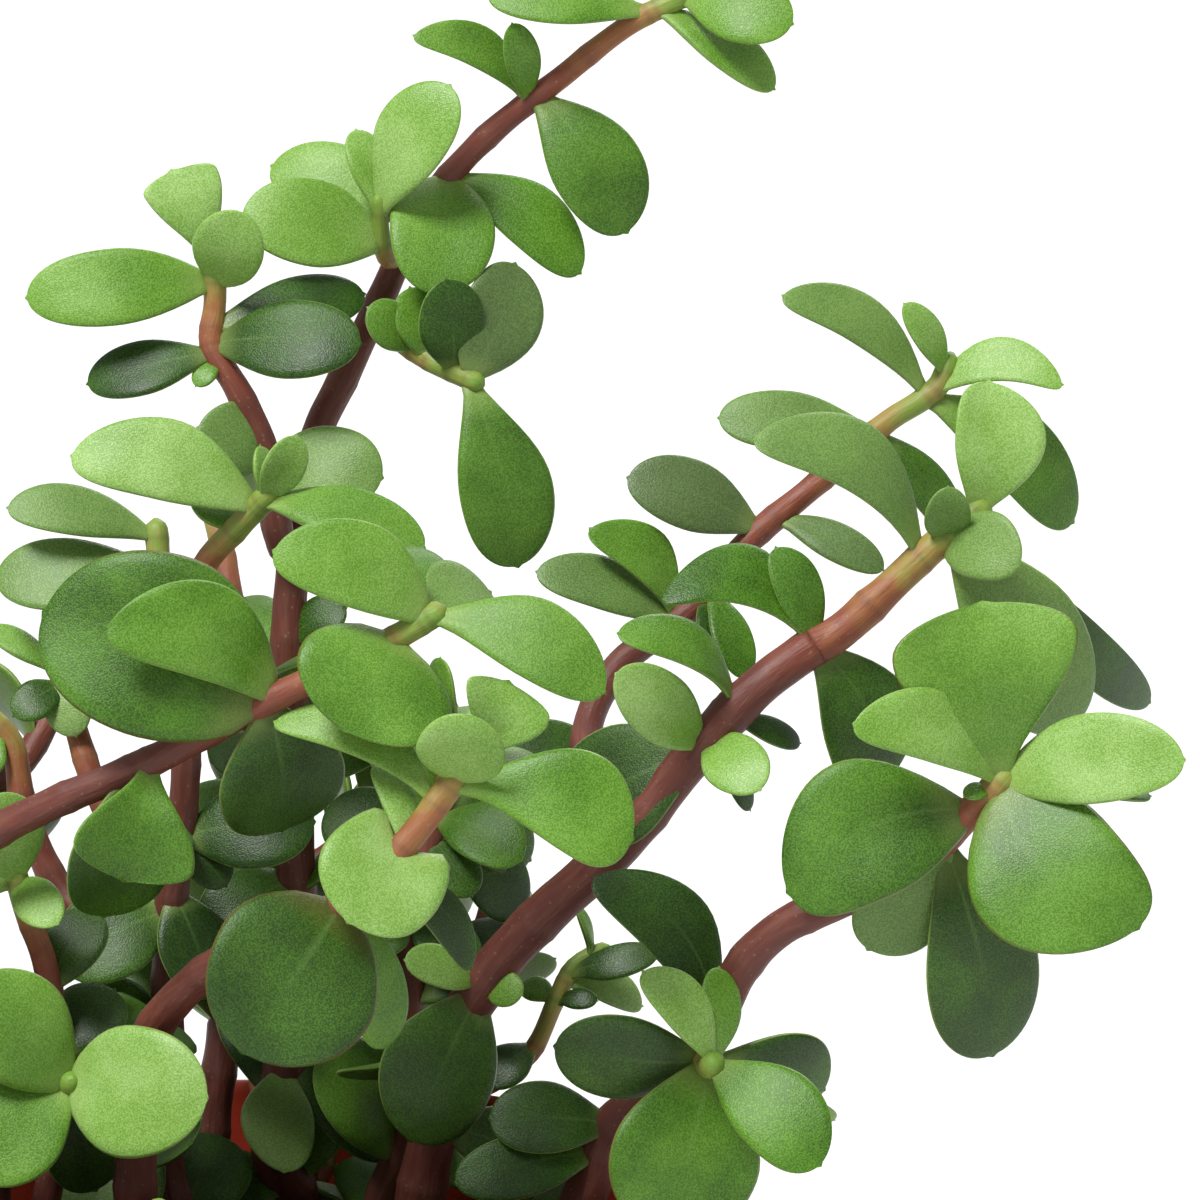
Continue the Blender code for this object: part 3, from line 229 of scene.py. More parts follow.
def seen_leaf(on, base, tip, out, width, turn=20, **form):
    """A leaf from the photograph's side, rooted where the branch passes nearest to the base as seen.

    The tip lies `out` millimetres nearer to the eye than the root. The upper face looks at the eye
    at a turn of 0 degrees, along the branch at 90, and away from the eye beyond that. In its form the
    arch lifts the middle of the blade, the fold its edges, and the sweep bows it to its right as seen
    from above. Its outline goes from a fan at a disc of -1 through a spoon to a round leaf at 1.
    """
    target = Vector(base)
    places = range(len(on.line) - END_MARGIN)
    i = min(places, key=lambda k: (in_picture(on.line[k]) - target).length)
    root = on.line[i]
    end = seen(*tip, -root.y / MM + out)
    axis = (end - root).normalized()
    to_eye = across_to(-VIEW_LINE, axis)
    to_side = axis.cross(to_eye)
    if to_side.dot(forward(on.line, i)) < 0:
        to_side = -to_side
    angle = math.radians(turn)
    face = to_eye * math.cos(angle) + to_side * math.sin(angle)
    return Leaf(root, end, face, width * MM, True, **form)


def leaf_pairs(on, rng, first, last, length, spacing=PAIR_SPACING, toward=TO_FRONT):
    """Opposite pairs along a branch, each pair a quarter turn on from the one before, smaller to the tip.

    The upper faces look partly up along the branch and partly towards the open side of the bush.
    """
    count = max(1, round((last - first) * len(on.line) * LINE_STEP / spacing))
    leaves = []
    quarter = rng.uniform(0, math.pi)
    for k in range(count + 1):
        place = first + (last - first) * k / count
        i = round(place * (len(on.line) - 1 - END_MARGIN))
        ahead = forward(on.line, i)
        side = across_to(Vector((math.cos(quarter), math.sin(quarter), 0.4)), ahead)
        side = Matrix.Rotation(k * math.pi / 2 + rng.uniform(-0.25, 0.25), 3, ahead) @ side
        for sign in (1, -1):
            size = length * MM * (1 - 0.3 * place**3) * rng.uniform(0.8, 1.1)
            spread = rng.uniform(0.25, 0.75)
            reach = (side * sign + ahead * spread + toward * 0.15).normalized()
            light = ahead * rng.uniform(0.3, 0.9) + toward * rng.uniform(0.6, 1.3)
            face = across_to(light + Vector((0, 0, 0.35)), reach)
            tip = on.line[i] + reach * (size + on.radii[i])
            width = size * rng.uniform(0.68, 0.86)
            form = [rng.uniform(*limits) for limits in GROWN_FORMS]
            leaves.append(Leaf(on.line[i], tip, face, width, False, *form))
    return leaves


def compass(bearing):
    """The level direction of a compass bearing, with north along +Y."""
    angle = math.radians(bearing)
    return Vector((math.sin(angle), math.cos(angle), 0))


def leaning_path(bearing, out, reach, rise, rng):
    """A path that leaves its foot, `out` from the axis, and leans outwards on a compass bearing."""
    outward = compass(bearing)
    sideways = Vector((outward.y, -outward.x, 0))
    sway = rng.uniform(-6, 6) * MM
    points = []
    for k in range(1, 6):
        t = k / 5
        spot = outward * (out + reach * t**1.4) * MM + sideways * sway * math.sin(2.5 * t)
        points.append(spot + Vector((0, 0, SOIL_TOP + (5 + (rise - 5) * t**0.85) * MM)))
    return points


def leaning_stem(bearing, out, reach, rise, rng):
    """An upright-footed branch on a leaning path."""
    foot = compass(bearing) * out
    return standing(foot.x, foot.y, 4.2, 2.4, leaning_path(bearing, out, reach, rise, rng))


def leaning_shoot(parent, place, turn, length, rng):
    """A side shoot that leaves its parent part of the way up, turned about it, and rises as it grows."""
    i = round(place * (len(parent.line) - 1))
    ahead = forward(parent.line, i)
    side = Matrix.Rotation(math.radians(turn), 3, ahead) @ across_to(Vector((0, 0, 1)), ahead)
    points = []
    for k in range(1, 4):
        t = k / 3
        lift = Vector((0, 0, 0.25 * t * t * rng.uniform(0.6, 1.4)))
        points.append(parent.line[i] + (ahead * 0.6 + side * 0.8 + lift) * length * t * MM)
    return side_shoot(parent, 3.0, 2.2, points)


# The leafy stems, each as its branches and its leaves


def right_leader():
    """The thick stem that climbs to the right, and the branch that climbs behind it."""
    leader = standing(17.5, -2, 5.4, 3.9, through(
        (43.2, 114, 3), (44.5, 106, 4), (49, 97.5, 6), (56, 90, 8), (60, 86.5, 9), (70.2, 74.6, 10),
        (75, 69.4, 10), (80.2, 65.4, 9), (81.4, 64.6, 8.8),
    ))
    upper = side_shoot(leader, 3.8, 2.6, through(
        (83.4, 63.6, 8.6), (87.4, 60.2, 8), (92, 55.9, 7), (96, 52.6, 6), (99, 50.2, 5),
    ))
    rear = side_shoot(leader, 3.4, 2.2, through(
        (59.7, 86.5, 8), (59.2, 80, 2), (59.2, 71.2, -8), (61.5, 67, -11), (69, 61, -14), (74.5, 54.5, -16),
        (81.5, 48.5, -18), (89, 42, -20), (94, 38.3, -21), (95.2, 35.2, -22),
    ))
    leaf = partial(seen_leaf, leader)
    leaves = [
        leaf((49, 99.6), (41, 114), 6, 12.2, sweep=0.05, disc=0.4, tone=DARK),
        leaf((48.4, 98), (52.2, 99.5), 4, 3.8, 10, tone=LIGHT),
        leaf((48, 98.2), (40.5, 96), 4, 4.8, 30, tone=LIGHT),
        leaf((43.6, 112), (58, 118.4), -5, 9.4, 25, tone=DARK),
        leaf((69.8, 73.6), (61.6, 67.4), 9, 7.2, 15, tone=LIGHT),
        leaf((69.8, 73.4), (76, 79), 8, 6.4, 10, disc=0.5, tone=LIGHT),
        leaf((70.4, 74), (75, 81), -2, 2.8, 30, tone=DARK),
        leaf((70, 73.8), (56.4, 80.8), -5, 12.4, sweep=-0.04, tone=DARK),
        leaf((73.4, 70.6), (61.8, 63.4), 6, 6, 48, arch=0.16, sweep=0.1),
        leaf((73.2, 71.8), (80, 74.3), -4, 3.2, 35, sweep=0.04, tone=DARK),
    ]
    leaf = partial(seen_leaf, upper)
    leaves += [
        leaf((81.8, 64.6), (66.3, 59.8), 3, 7.2, 35, arch=0.12, sweep=0.27, disc=0.5, tone=DULL),
        leaf((81.4, 64.8), (77.6, 54.8), -1, 5.2, sweep=0.04, disc=0.3, tone=DULL),
        leaf((81.4, 64.6), (87, 79.6), -4, 10.2, 22, sweep=-0.12, disc=0.4, tone=DARK),
        leaf((92, 55.6), (75.5, 43.8), 4, 8, 32, arch=0.12, sweep=0.17, disc=0.3, grey=True),
        leaf((95, 53.4), (107.6, 72.4), -8, 12.4, 18, sweep=0.02, disc=0.3, grey=True),
        leaf((96, 53), (115, 70.2), -18, 6.2, 30, sweep=0.07, tone=DARK),
        leaf((98.4, 50.8), (98.9, 38.2), -3, 9.6, 15, fold=0.2, sweep=0.09, disc=0.3, tone=LIGHT),
        leaf((95.2, 54.6), (94.8, 48.7), 4, 4.8, 10, fold=0.15, disc=0.8, grey=True),
        leaf((94.6, 54.2), (102, 56.4), 6, 7, 5, arch=0.04, sweep=-0.06, disc=0.9, grey=True),
    ]
    leaf = partial(seen_leaf, rear)
    leaves += [
        leaf((66, 61), (53.7, 57.2), 3, 6.2, 30, sweep=0.04, tone=DULL, grey=True),
        leaf((67.2, 61.4), (59, 52.9), 2, 5.8, 25, fold=0.2, sweep=0.16, disc=0),
        leaf((70.5, 59.5), (71.6, 66.5), 5, 4, 30, tone=DARK),
        leaf((71, 59), (74.4, 67.8), 5, 4.6, 30, tone=DULL),
        leaf((75.6, 52.8), (62.8, 47.8), 3, 7.6, arch=0.08, sweep=0.03, tone=DARK, grey=True),
        leaf((77.4, 51.8), (88.3, 57), 3, 4.6, 30, tone=DARK, grey=True),
        leaf((87.5, 43), (71.9, 41.8), 2, 6.6, 22, arch=0.06, grey=True),
        leaf((88, 44), (95.8, 53.4), -4, 5.6, 35, tone=DULL),
        leaf((92.4, 39.4), (78.3, 29.6), 3, 6, 30, arch=0.06, sweep=0.13, grey=True),
        leaf((92.4, 39.6), (107.3, 52.2), -5, 8.8, 22, sweep=-0.06, tone=DULL),
        leaf((94.6, 35.4), (90.4, 30.4), 3, 3.8, 30, fold=0.2, tone=LIGHT),
        leaf((93, 39.2), (106.2, 38.5), 3, 5.2, 28, fold=0.1, sweep=-0.2, disc=0.8, tone=LIGHT),
    ]
    return [leader, upper, rear], leaves


def low_right():
    """The arching stem below the leader, with the short shoot on its near side."""
    arm = standing(33, -13, 5.2, 2.8, through(
        (59.5, 117, 14), (61.5, 112.5, 15), (65, 109.5, 16), (69, 106, 17), (71.8, 101.4, 18), (74, 97, 19),
        (78.1, 92.8, 20), (84, 90.2, 21), (91, 87, 22), (96.5, 81.8, 22), (101.4, 76.8, 22),
    ))
    shoot = side_shoot(arm, 3.2, 2.4, through((70.6, 106, 20), (71.4, 106.4, 27)))
    leaf = partial(seen_leaf, arm)
    leaves = [
        leaf((71.2, 102), (59.6, 87.7), -2, 8, 25, sweep=0.14, disc=0.4, tone=DARK),
        leaf((61.5, 112.5), (49, 111.8), 2, 7.6, tone=DARK),
        leaf((60, 115), (45.6, 118.4), 5, 6.8, tone=DARK), leaf((95, 84), (86.8, 94.9), 0, 9.4, grey=True),
        leaf((94.8, 84.4), (99.3, 105.5), -4, 12.4, 22, disc=0, tone=DARK),
        leaf((97, 80.4), (78.8, 89.2), 4, 14, 8, sweep=0.12, disc=0.5, tone=DULL),
        leaf((101.2, 76), (98.2, 60.3), 1, 18.2, 8, fold=0.2, sweep=-0.04, disc=-0.65),
        leaf((101.2, 76.8), (113.8, 92.8), 8, 15.6, 5, sweep=0.16, disc=0.8, tone=DULL),
        leaf((101.2, 75), (85.4, 72.4), 8, 7.2, 12, sweep=0.14, disc=0.5, tone=LIGHT),
        leaf((101.6, 75.6), (118.4, 76), 8, 9, 10, arch=0.04, sweep=-0.06, disc=0.6, tone=LIGHT),
        leaf((100.8, 77), (115, 79.6), -3, 7, 62, tone=DARK), leaf((99.5, 78.8), (96.4, 79.6), 2, 2.2, 40),
    ]
    leaf = partial(seen_leaf, shoot)
    leaves += [
        leaf((70.6, 105.8), (55.5, 104.6), 3, 9, tone=DARK),
        leaf((71.2, 106), (64.3, 97.2), 2, 5.4, 25, sweep=0.08, tone=LIGHT),
        leaf((71.2, 106), (71.9, 96.8), -4, 5, 35),
        leaf((71.4, 106.4), (82, 116.5), 8, 9, 10, sweep=-0.05, tone=DULL),
        leaf((71, 106), (82.4, 109), -8, 7.8, 22, sweep=-0.16, tone=DARK),
        leaf((71, 106.2), (65.8, 123.5), 5, 15.4, 18, disc=0.4, tone=DULL),
        leaf((71, 106.2), (83.4, 112), -13, 4.4, 30),
    ]
    return [arm, shoot], leaves


def top():
    """The tall stem behind, its three shoots and the branch that stands beside it on the left."""
    tall = standing(4.5, 16, 5, 2, through(
        (28.5, 118, -15), (29.5, 100, -14), (29.5, 80, -12), (29, 60, -14), (32, 42.5, -18),
        (34.5, 37.5, -20), (38.8, 28.3, -22), (42, 21.5, -22), (47.5, 14.8, -22), (56, 7.8, -21),
        (64, 1.8, -20), (70, -1, -20),
    ))
    left = side_shoot(tall, 3.2, 2.2, through(
        (28.5, 55, -12), (25.8, 43, -10), (23.5, 38.5, -10), (21.2, 34.5, -11), (21.5, 30, -12),
        (21.2, 25.5, -12),
    ))
    low_shoot = side_shoot(tall, 2.6, 2, through((38, 32.5, -20), (43, 36, -16), (48.4, 38.6, -13)))
    high_shoot = side_shoot(tall, 2.0, 1.5, through((38.9, 26, -20), (37.8, 19.4, -17)))
    leaf = partial(seen_leaf, tall)
    leaves = [
        leaf((29.4, 106), (28.4, 117.2), 8, 7.6, 15, sweep=0.08, disc=0, tone=LIGHT, grey=True),
        leaf((29.4, 105), (40.5, 115), 3, 10, 25, tone=DARK),
        leaf((29.2, 88), (20.6, 94), 4, 9, disc=0.5, tone=DARK),
        leaf((29.4, 93), (40, 99), 2, 9.6, 25, disc=0.5, tone=DARK),
        leaf((41.6, 22), (27.2, 16.6), -4, 8, sweep=0.05, tone=LIGHT),
    ]
    leaf = partial(seen_leaf, high_shoot)
    leaves += [
        leaf((37.8, 20), (35.6, 13), -3, 4.6, 25, tone=LIGHT),
        leaf((37.8, 19), (45, 8.6), 2, 8.6, 25, sweep=-0.02, disc=0.1, tone=LIGHT),
        leaf((38.8, 24), (24.2, 21.6), 4, 9.2, 15, sweep=0.03, disc=0.6, tone=LIGHT),
    ]
    leaf = partial(seen_leaf, tall)
    leaves += [
        leaf((44.6, 17.6), (43.3, 29.4), 9, 11, 5, disc=0.85),
        leaf((46.4, 19), (58, 27.3), 3, 7.2, 25, sweep=-0.07, tone=DULL),
        leaf((53.2, 10.2), (41.4, 3.6), 4, 4.6, fold=0.2, sweep=0.14, disc=0.3),
        leaf((53.2, 10.2), (51.2, 2.4), 4, 4, 25, disc=0),
        leaf((54.4, 10), (62.7, 23.2), 3, 9.6, 15, sweep=-0.05, disc=0.3, tone=DULL),
        leaf((65, 1.2), (48.8, -0.4), 2, 6.6, 30), leaf((66, 0.6), (77.4, 8.9), 1, 6, 40),
        leaf((70, -1), (79.2, 2.4), 5, 7.4, 15), leaf((70, -1), (68, -7), 0, 6.4, 40),
    ]
    leaf = partial(seen_leaf, low_shoot)
    leaves += [
        leaf((43, 36), (41, 28.8), -1, 6, 22, disc=0.4),
        leaf((45.6, 37.4), (44.6, 28), 3, 7, 18, disc=0.4, tone=DARK),
        leaf((41.6, 35), (36.8, 30.8), 3, 5, 25),
        leaf((46.6, 37.8), (51.5, 26.4), -3, 8.8, sweep=0.03, disc=0.6, tone=DARK, grey=True),
        leaf((48.4, 38.8), (51.8, 56.6), 2, 9.8, 12, sweep=-0.02, disc=-0.1, tone=DULL),
    ]
    leaf = partial(seen_leaf, left)
    leaves += [
        leaf((21.2, 34.4), (36, 34.4), 5, 8.8, 22, tone=DARK),
        leaf((21.4, 35.6), (8.8, 38.4), 0, 6.4, 30, sweep=-0.03, tone=DARK),
        leaf((22.2, 36.4), (19.6, 38.6), 2, 2.6, 30),
    ]
    leaf = partial(seen_leaf, tall)
    leaves += [leaf((28.8, 64), (34.6, 60.8), 2, 5, 25, tone=DARK)]
    leaf = partial(seen_leaf, left)
    leaves += [
        leaf((21.4, 32.4), (36.4, 29.4), -4, 6.8, 30, sweep=0.03, tone=DARK),
        leaf((21.4, 28.6), (2.7, 29.8), 2, 8.2, 12, disc=0.5),
        leaf((21, 28), (24.6, 21.4), 6, 7.4, 5, disc=0.8, tone=LIGHT),
        leaf((20.6, 25.6), (17.2, 17.1), 0, 7.8, 8, fold=0.1, sweep=0.04, disc=-0.95, tone=LIGHT),
        leaf((26.6, 46), (38.2, 47.8), 4, 9, 15, disc=0.6, grey=True),
        leaf((26.6, 46.4), (19.8, 42.8), 3, 7.6, sweep=0.04, disc=0.6, grey=True),
    ]
    leaves += leaf_pairs(tall, random.Random(4), 0.12, 0.46, 14, spacing=10 * MM)
    return [tall, left, low_shoot, high_shoot], leaves


def left_middle():
    """The olive shoot at half height on the left, and the shoot behind it."""
    upright = standing(-7, 4, 4.2, 2.3, through(
        (16.8, 118, -4), (16.8, 100, -1), (17, 92, 1), (18.4, 80, 3), (19, 68, 4), (20.5, 56.5, 5),
        (24, 52.5, 7), (27.4, 49, 9),
    ))
    behind = side_shoot(upright, 3, 2.2, through((18, 66, 1), (16, 58, -5), (15.6, 51.8, -7)))
    side = side_shoot(upright, 2.8, 2.2, through(
        (13, 85, -1), (9.6, 79, -3), (7.8, 73.5, -5), (5.6, 65.4, -6),
    ))
    far = side_shoot(upright, 3.2, 2.4, through((7, 90, -6), (2.2, 80, -8), (1.2, 74.5, -9), (-3, 70, -10)))
    leaf = partial(seen_leaf, side)
    leaves = [
        leaf((6, 68.6), (1.4, 71.6), 3, 4.6, 25, tone=DARK), leaf((5.8, 66.4), (-1.4, 62.8), -3, 3.2, 35),
        leaf((6.2, 67.4), (7.6, 73.6), 3, 4.8, 10, disc=0.5, tone=LIGHT, grey=True),
    ]
    leaf = partial(seen_leaf, far)
    leaves += [leaf((0, 72.6), (-3, 77.4), 2, 6, 25)]
    leaf = partial(seen_leaf, upright)
    leaves += [
        leaf((25.6, 50.4), (7.2, 45.6), 0, 8.4, 15, sweep=0.09, disc=0.5, tone=LIGHT),
        leaf((26.2, 50.4), (42.4, 54.8), 4, 7.2, 40, arch=0.1),
        leaf((27.4, 49), (29.6, 43.6), 2, 4.6, 25, fold=0.2, tone=LIGHT),
        leaf((27.2, 49.2), (26, 44.6), -1, 4, 60, tone=LIGHT), leaf((23.6, 53), (19.8, 49.6), -3, 4.6, 40),
        leaf((18, 84), (31.4, 82.2), 2, 9.4, tone=DARK),
        leaf((17.4, 89), (21.4, 100), 3, 8.2, disc=0.5, tone=DARK),
        leaf((18, 84), (22.6, 88.6), 2, 5, 25, tone=DARK),
        leaf((17.2, 91), (6, 96.4), 3, 9.8, disc=0.5, tone=DARK),
        leaf((17, 104), (7.4, 101), 2, 9, disc=0.5, tone=DARK), leaf((17, 114), (10, 121), 2, 9, tone=DARK),
    ]
    leaf = partial(seen_leaf, behind)
    leaves += [
        leaf((15.4, 50.8), (0.8, 50.8), 2, 5.8, 30, sweep=0.04, grey=True),
        leaf((15.8, 57.4), (-0.4, 58), 0, 8, 25, sweep=-0.03, grey=True),
    ]
    rng = random.Random(8)
    leaves += leaf_pairs(upright, rng, 0.16, 0.74, 14, spacing=11 * MM)
    leaves += leaf_pairs(behind, rng, 0.5, 1, 12)
    return [upright, behind, side, far], leaves


def left_front():
    """The long stem that crosses the front from the left."""
    arm = standing(-33, -14, 4.6, 2.4, through(
        (-9.5, 116, 16), (-10.5, 104, 18), (-9, 93, 21), (-5, 87, 23.5), (0, 83, 25), (5, 80.5, 26.5),
        (15, 76.2, 28.5), (24, 71.5, 30), (34, 66.5, 31), (39.5, 63.8, 31), (44.6, 60.7, 31),
    ))
    leaf = partial(seen_leaf, arm)
    leaves = [
        leaf((14.8, 76.8), (12.3, 88), 4, 12.4, 16, fold=0.3, disc=-0.7, tone=DULL),
        leaf((13.4, 77), (10.4, 91.6), -5, 11, 25, tone=DARK),
        leaf((26.6, 70), (4.4, 61.2), -2, 18.4, 6, sweep=0.04, disc=0.9, tone=DULL),
        leaf((27.4, 69.4), (10.9, 62.6), 5, 9.4, 8, sweep=0.17, disc=0.7),
        leaf((26.8, 70), (28.2, 83), -6, 13.6, 22, tone=DARK),
        leaf((39.6, 63.6), (34.3, 73), 7, 16.6, 5, sweep=-0.05, disc=0.85),
        leaf((43.2, 61.4), (27.4, 55.1), 3, 8.6, 8, sweep=0.11, disc=0.6),
        leaf((43, 61.8), (60.4, 69.2), 4, 8.2, 22, sweep=-0.09, disc=0.1),
        leaf((42.4, 62), (49, 59.2), -6, 8, sweep=-0.1, grey=True),
        leaf((42, 62.2), (42.2, 54.8), -7, 6, 25),
    ]
    leaves += leaf_pairs(arm, random.Random(2), 0.24, 0.46, 15)
    return [arm], leaves


def centre_front():
    """The thick stem that climbs through the front of the pot."""
    arm = standing(-10, -19, 5, 2.4, through(
        (13.6, 114, 20), (14.2, 105.4, 22), (19.4, 98.2, 27), (29, 92.8, 34), (34, 90.5, 36.5),
        (40.9, 84, 36), (44.8, 78.8, 35), (48.4, 74, 34),
    ))
    leaf = partial(seen_leaf, arm)
    leaves = [
        leaf((34, 90.8), (24.2, 105.2), 7, 17.2, 5, disc=0.9, tone=DARK),
        leaf((34, 90.6), (38.8, 104.6), -4, 7.4, 35),
        leaf((40, 84.6), (34.8, 92.2), 6, 12.8, 3, disc=1, tone=LIGHT),
        leaf((38, 86.6), (47.1, 96.8), -3, 4.8, 30, sweep=-0.1, tone=DARK),
        leaf((40, 84.8), (37.6, 76.6), -4, 3.8, 25, sweep=0.1, tone=LIGHT),
        leaf((43.4, 80), (27.5, 72.2), -4, 5.4, 25, sweep=0.15, tone=LIGHT),
        leaf((45, 78.4), (63.2, 83.9), 2, 10.4, 15, sweep=-0.1, disc=-0.45),
        leaf((45.2, 78), (47, 71.5), 6, 8.8, 0, disc=0.8, tone=LIGHT),
        leaf((47.6, 75), (50.8, 68.2), 0, 9, 12, fold=0.3, sweep=0.12, disc=-0.8, tone=LIGHT),
        leaf((46.8, 76), (55, 77), -4, 4.4, 55),
    ]
    return [arm], leaves


def centre_back():
    """The stem hidden behind the front ones, whose leaves fill the middle of the bush."""
    upright = standing(13.5, 9, 3.8, 2.2, through(
        (40.6, 114, -8), (41, 100, -7), (41, 92, -7), (43, 84, -9), (45, 77, -11), (45.5, 71, -13),
    ))
    twig = side_shoot(upright, 2.2, 1.6, through(
        (47.5, 109, -9), (53, 105.4, -11), (55.6, 100, -12), (57.4, 96.6, -13), (61, 94.6, -14),
    ))
    leaf = partial(seen_leaf, twig)
    leaves = [
        leaf((54, 105), (48.4, 108.4), 3, 5, 25, tone=DARK),
        leaf((55.8, 99.8), (59.7, 100.1), 2, 2.4, 30, tone=DARK),
        leaf((55.6, 99.8), (52.2, 98.4), -2, 3, 30),
        leaf((56.4, 98.4), (64.2, 100.6), -3, 4, 25, sweep=-0.08, tone=LIGHT, grey=True),
        leaf((57, 97.2), (65.8, 95.4), 2, 4, 30, sweep=0.03, tone=DARK),
        leaf((61, 94.8), (57.6, 90.6), 1, 2.4, 72),
    ]
    leaf = partial(seen_leaf, upright)
    leaves += [
        leaf((45.2, 77), (58.6, 73.8), -3, 5.4, 25, sweep=-0.02, tone=DARK),
        leaf((41, 92), (47.4, 97), 3, 6.6, 30, tone=DARK),
        leaf((41, 92), (36, 95.4), 4, 5.8, 30, tone=DARK),
        leaf((43, 84), (47.2, 89.6), 4, 5.2, 25, tone=DARK),
        leaf((44, 81), (52, 91.6), -2, 7.4, 25, tone=DARK),
        leaf((42.6, 86), (32.6, 81), -2, 9, 25, disc=0.5, tone=DARK),
        leaf((44, 80.4), (53, 86), -3, 7.6, 22, tone=DARK),
    ]
    leaves += leaf_pairs(upright, random.Random(12), 0.22, 1, 14, spacing=10 * MM)
    return [upright, twig], leaves


def left_low():
    """The two short shoots at the lower left of the pot."""
    upright = standing(-20, -13, 3.4, 2.2, through(
        (5.6, 114, 14), (5.6, 104, 16), (4.4, 96, 17), (2.2, 90, 18), (1.4, 86.4, 18),
    ))
    shoot = side_shoot(upright, 2.8, 2.2, through((5.6, 110, 18), (7.4, 107.8, 25)))
    leaf = partial(seen_leaf, upright)
    leaves = [
        leaf((2, 88), (-0.4, 79.4), 3, 7.6, 15, tone=LIGHT),
        leaf((2.4, 88), (5.8, 92.4), 6, 4.8, 10, disc=0.7, tone=LIGHT), leaf((2.2, 88), (-10, 87), 0, 8),
        leaf((5.6, 107), (9.6, 119), -2, 9, disc=0.4, tone=DARK),
        leaf((5, 99.4), (9.4, 91), -4, 6.6, disc=0.4, tone=DARK),
        leaf((5.6, 106), (11.4, 99), -4, 7.4, disc=0.4, tone=DARK),
    ]
    leaf = partial(seen_leaf, shoot)
    leaves += [
        leaf((7.2, 108), (-4, 98.8), 3, 11, 12, sweep=0.04, disc=0.6),
        leaf((7.2, 108), (-3.4, 117.2), 4, 10.6, 12, disc=0.6),
        leaf((7.4, 107.6), (20.7, 109.8), 9, 13.2, 5, disc=0.8, tone=LIGHT),
    ]
    leaves += leaf_pairs(upright, random.Random(3), 0.3, 0.8, 12)
    return [upright, shoot], leaves


def outer_stem(bearing, out, reach, rise, seed, *shoots):
    """A leafy stem of the sides that the photograph doesn't show, grown by rule with its side shoots."""
    rng = random.Random(seed)
    main = leaning_stem(bearing, out, reach, rise, rng)
    branches = [main]
    outward = compass(bearing)
    leaves = leaf_pairs(main, rng, 0.24, 1, OUTER_LENGTH, toward=outward)
    for place, turn, length in shoots:
        shoot = leaning_shoot(main, place, turn, length, rng)
        branches.append(shoot)
        leaves += leaf_pairs(shoot, rng, 0.45, 1, OUTER_LENGTH * 0.9, toward=outward)
    return branches, leaves


def leafy_stems():
    """Every leafy stem by name, the ones from the photograph first."""
    shown = (right_leader, low_right, top, left_front, centre_front, left_middle, centre_back, left_low)
    outer = {
        "left": (268, 34, 38, 62, 21, (0.55, 80, 24), (0.7, -90, 22)),
        "back_left": (304, 32, 34, 84, 22, (0.5, 70, 28), (0.65, -80, 26)),
        "back": (352, 33, 26, 70, 23, (0.5, 100, 26), (0.66, -80, 24)),
        "back_right": (30, 34, 20, 40, 24, (0.6, -80, 22)),
        "left_rim": (236, 35, 32, 34, 25, (0.6, 70, 22)),
        "front_rim": (196, 29, 27, 16, 26, (0.66, 80, 14), (0.66, -80, 14)),
        "right_rim": (142, 28, 25, 15, 27),
        "back_rim": (10, 28, 6, 18, 28, (0.4, 90, 12), (0.4, -90, 12)),
    }
    stems = {"stem_" + grow.__name__: grow() for grow in shown}
    return stems | {"stem_" + name: outer_stem(*values) for name, values in outer.items()}


# Solids


def half_width(t, disc):
    """The leaf's outline: half its width along it, as a share of the largest."""
    widest = LEAF_WIDEST - (DISC_WIDEST if disc > 0 else FAN_WIDEST) * disc
    if t < widest:
        return LEAF_NECK + (1 - LEAF_NECK) * math.sin(math.pi / 2 * t / widest) ** (1.3 - 0.75 * disc)
    return math.sqrt(max(0.0, 1 - ((t - widest) / (1 - widest)) ** 2.2))


def lobe(t, s, disc):
    """How far the edges near the root of a round leaf reach back past it, as a share of its length."""
    swell = t / LOBE_PLACE * math.exp(1 - t / LOBE_PLACE)
    return max(0.0, disc - LOBED) / (1 - LOBED) * LOBE * s * s * swell


def blade_point(leaf, t, s, lift):
    """A point of the blade: t along it, s across it from -1 to 1, and lifted along its upper face."""
    length = leaf.tip - leaf.root
    side = length.normalized().cross(leaf.face)
    half = leaf.width / 2 * half_width(t, leaf.disc)
    bow = length.length * 4 * t * (1 - t)
    rise = leaf.arch * bow + leaf.fold * half * s * s
    along = length * (t - lobe(t, s, leaf.disc))
    return leaf.root + along + side * (half * s + leaf.sweep * bow) + leaf.face * (rise + lift)


# Where along a blade its rim and its rib have points, where it is grown and where it is in the photograph
STATIONS = (((0, 0.42, 0.82), (0.55,)), ((0, 0.34, 0.62, 0.87), (0.3, 0.7)))


def leaf_mesh(leaf, extra=0.0):
    """A closed lens of few faces: the rim's points, and one or two points of the rib on either face."""
    wide = leaf._replace(width=leaf.width + 2 * extra)
    rim, rib = STATIONS[leaf.in_photo]
    right, left = ([blade_point(wide, t, s, 0) for t in rim] for s in (1, -1))
    points = right + [blade_point(wide, 1, 0, 0)] + left[::-1]
    last = len(points)
    faces = []
    for lift in (1, -1):
        low, high = len(points), len(points) + len(rib) - 1
        points += [blade_point(wide, t, 0, lift * (LEAF_THICKNESS / 2 + extra)) for t in rib]
        side = [(last - 2, last - 1, low), (last - 1, 0, low), (0, 1, low)]
        side += [(k, k + 1, high) for k in range(1, last - 2)]
        if high > low:
            side += [(1, high, low), (high, last - 2, low)]
        faces += [corners[::lift] for corners in side]
    return points, faces


def ring_places(line):
    """Where a tube has its rings: closer together where the line bends."""
    places = [0]
    for i in range(1, len(line) - 1):
        turned_by = forward(line, places[-1]).angle(forward(line, i))
        if (i - places[-1]) * LINE_STEP >= BARK_STEP or turned_by > BARK_TURN:
            places.append(i)
    return places + [len(line) - 1]


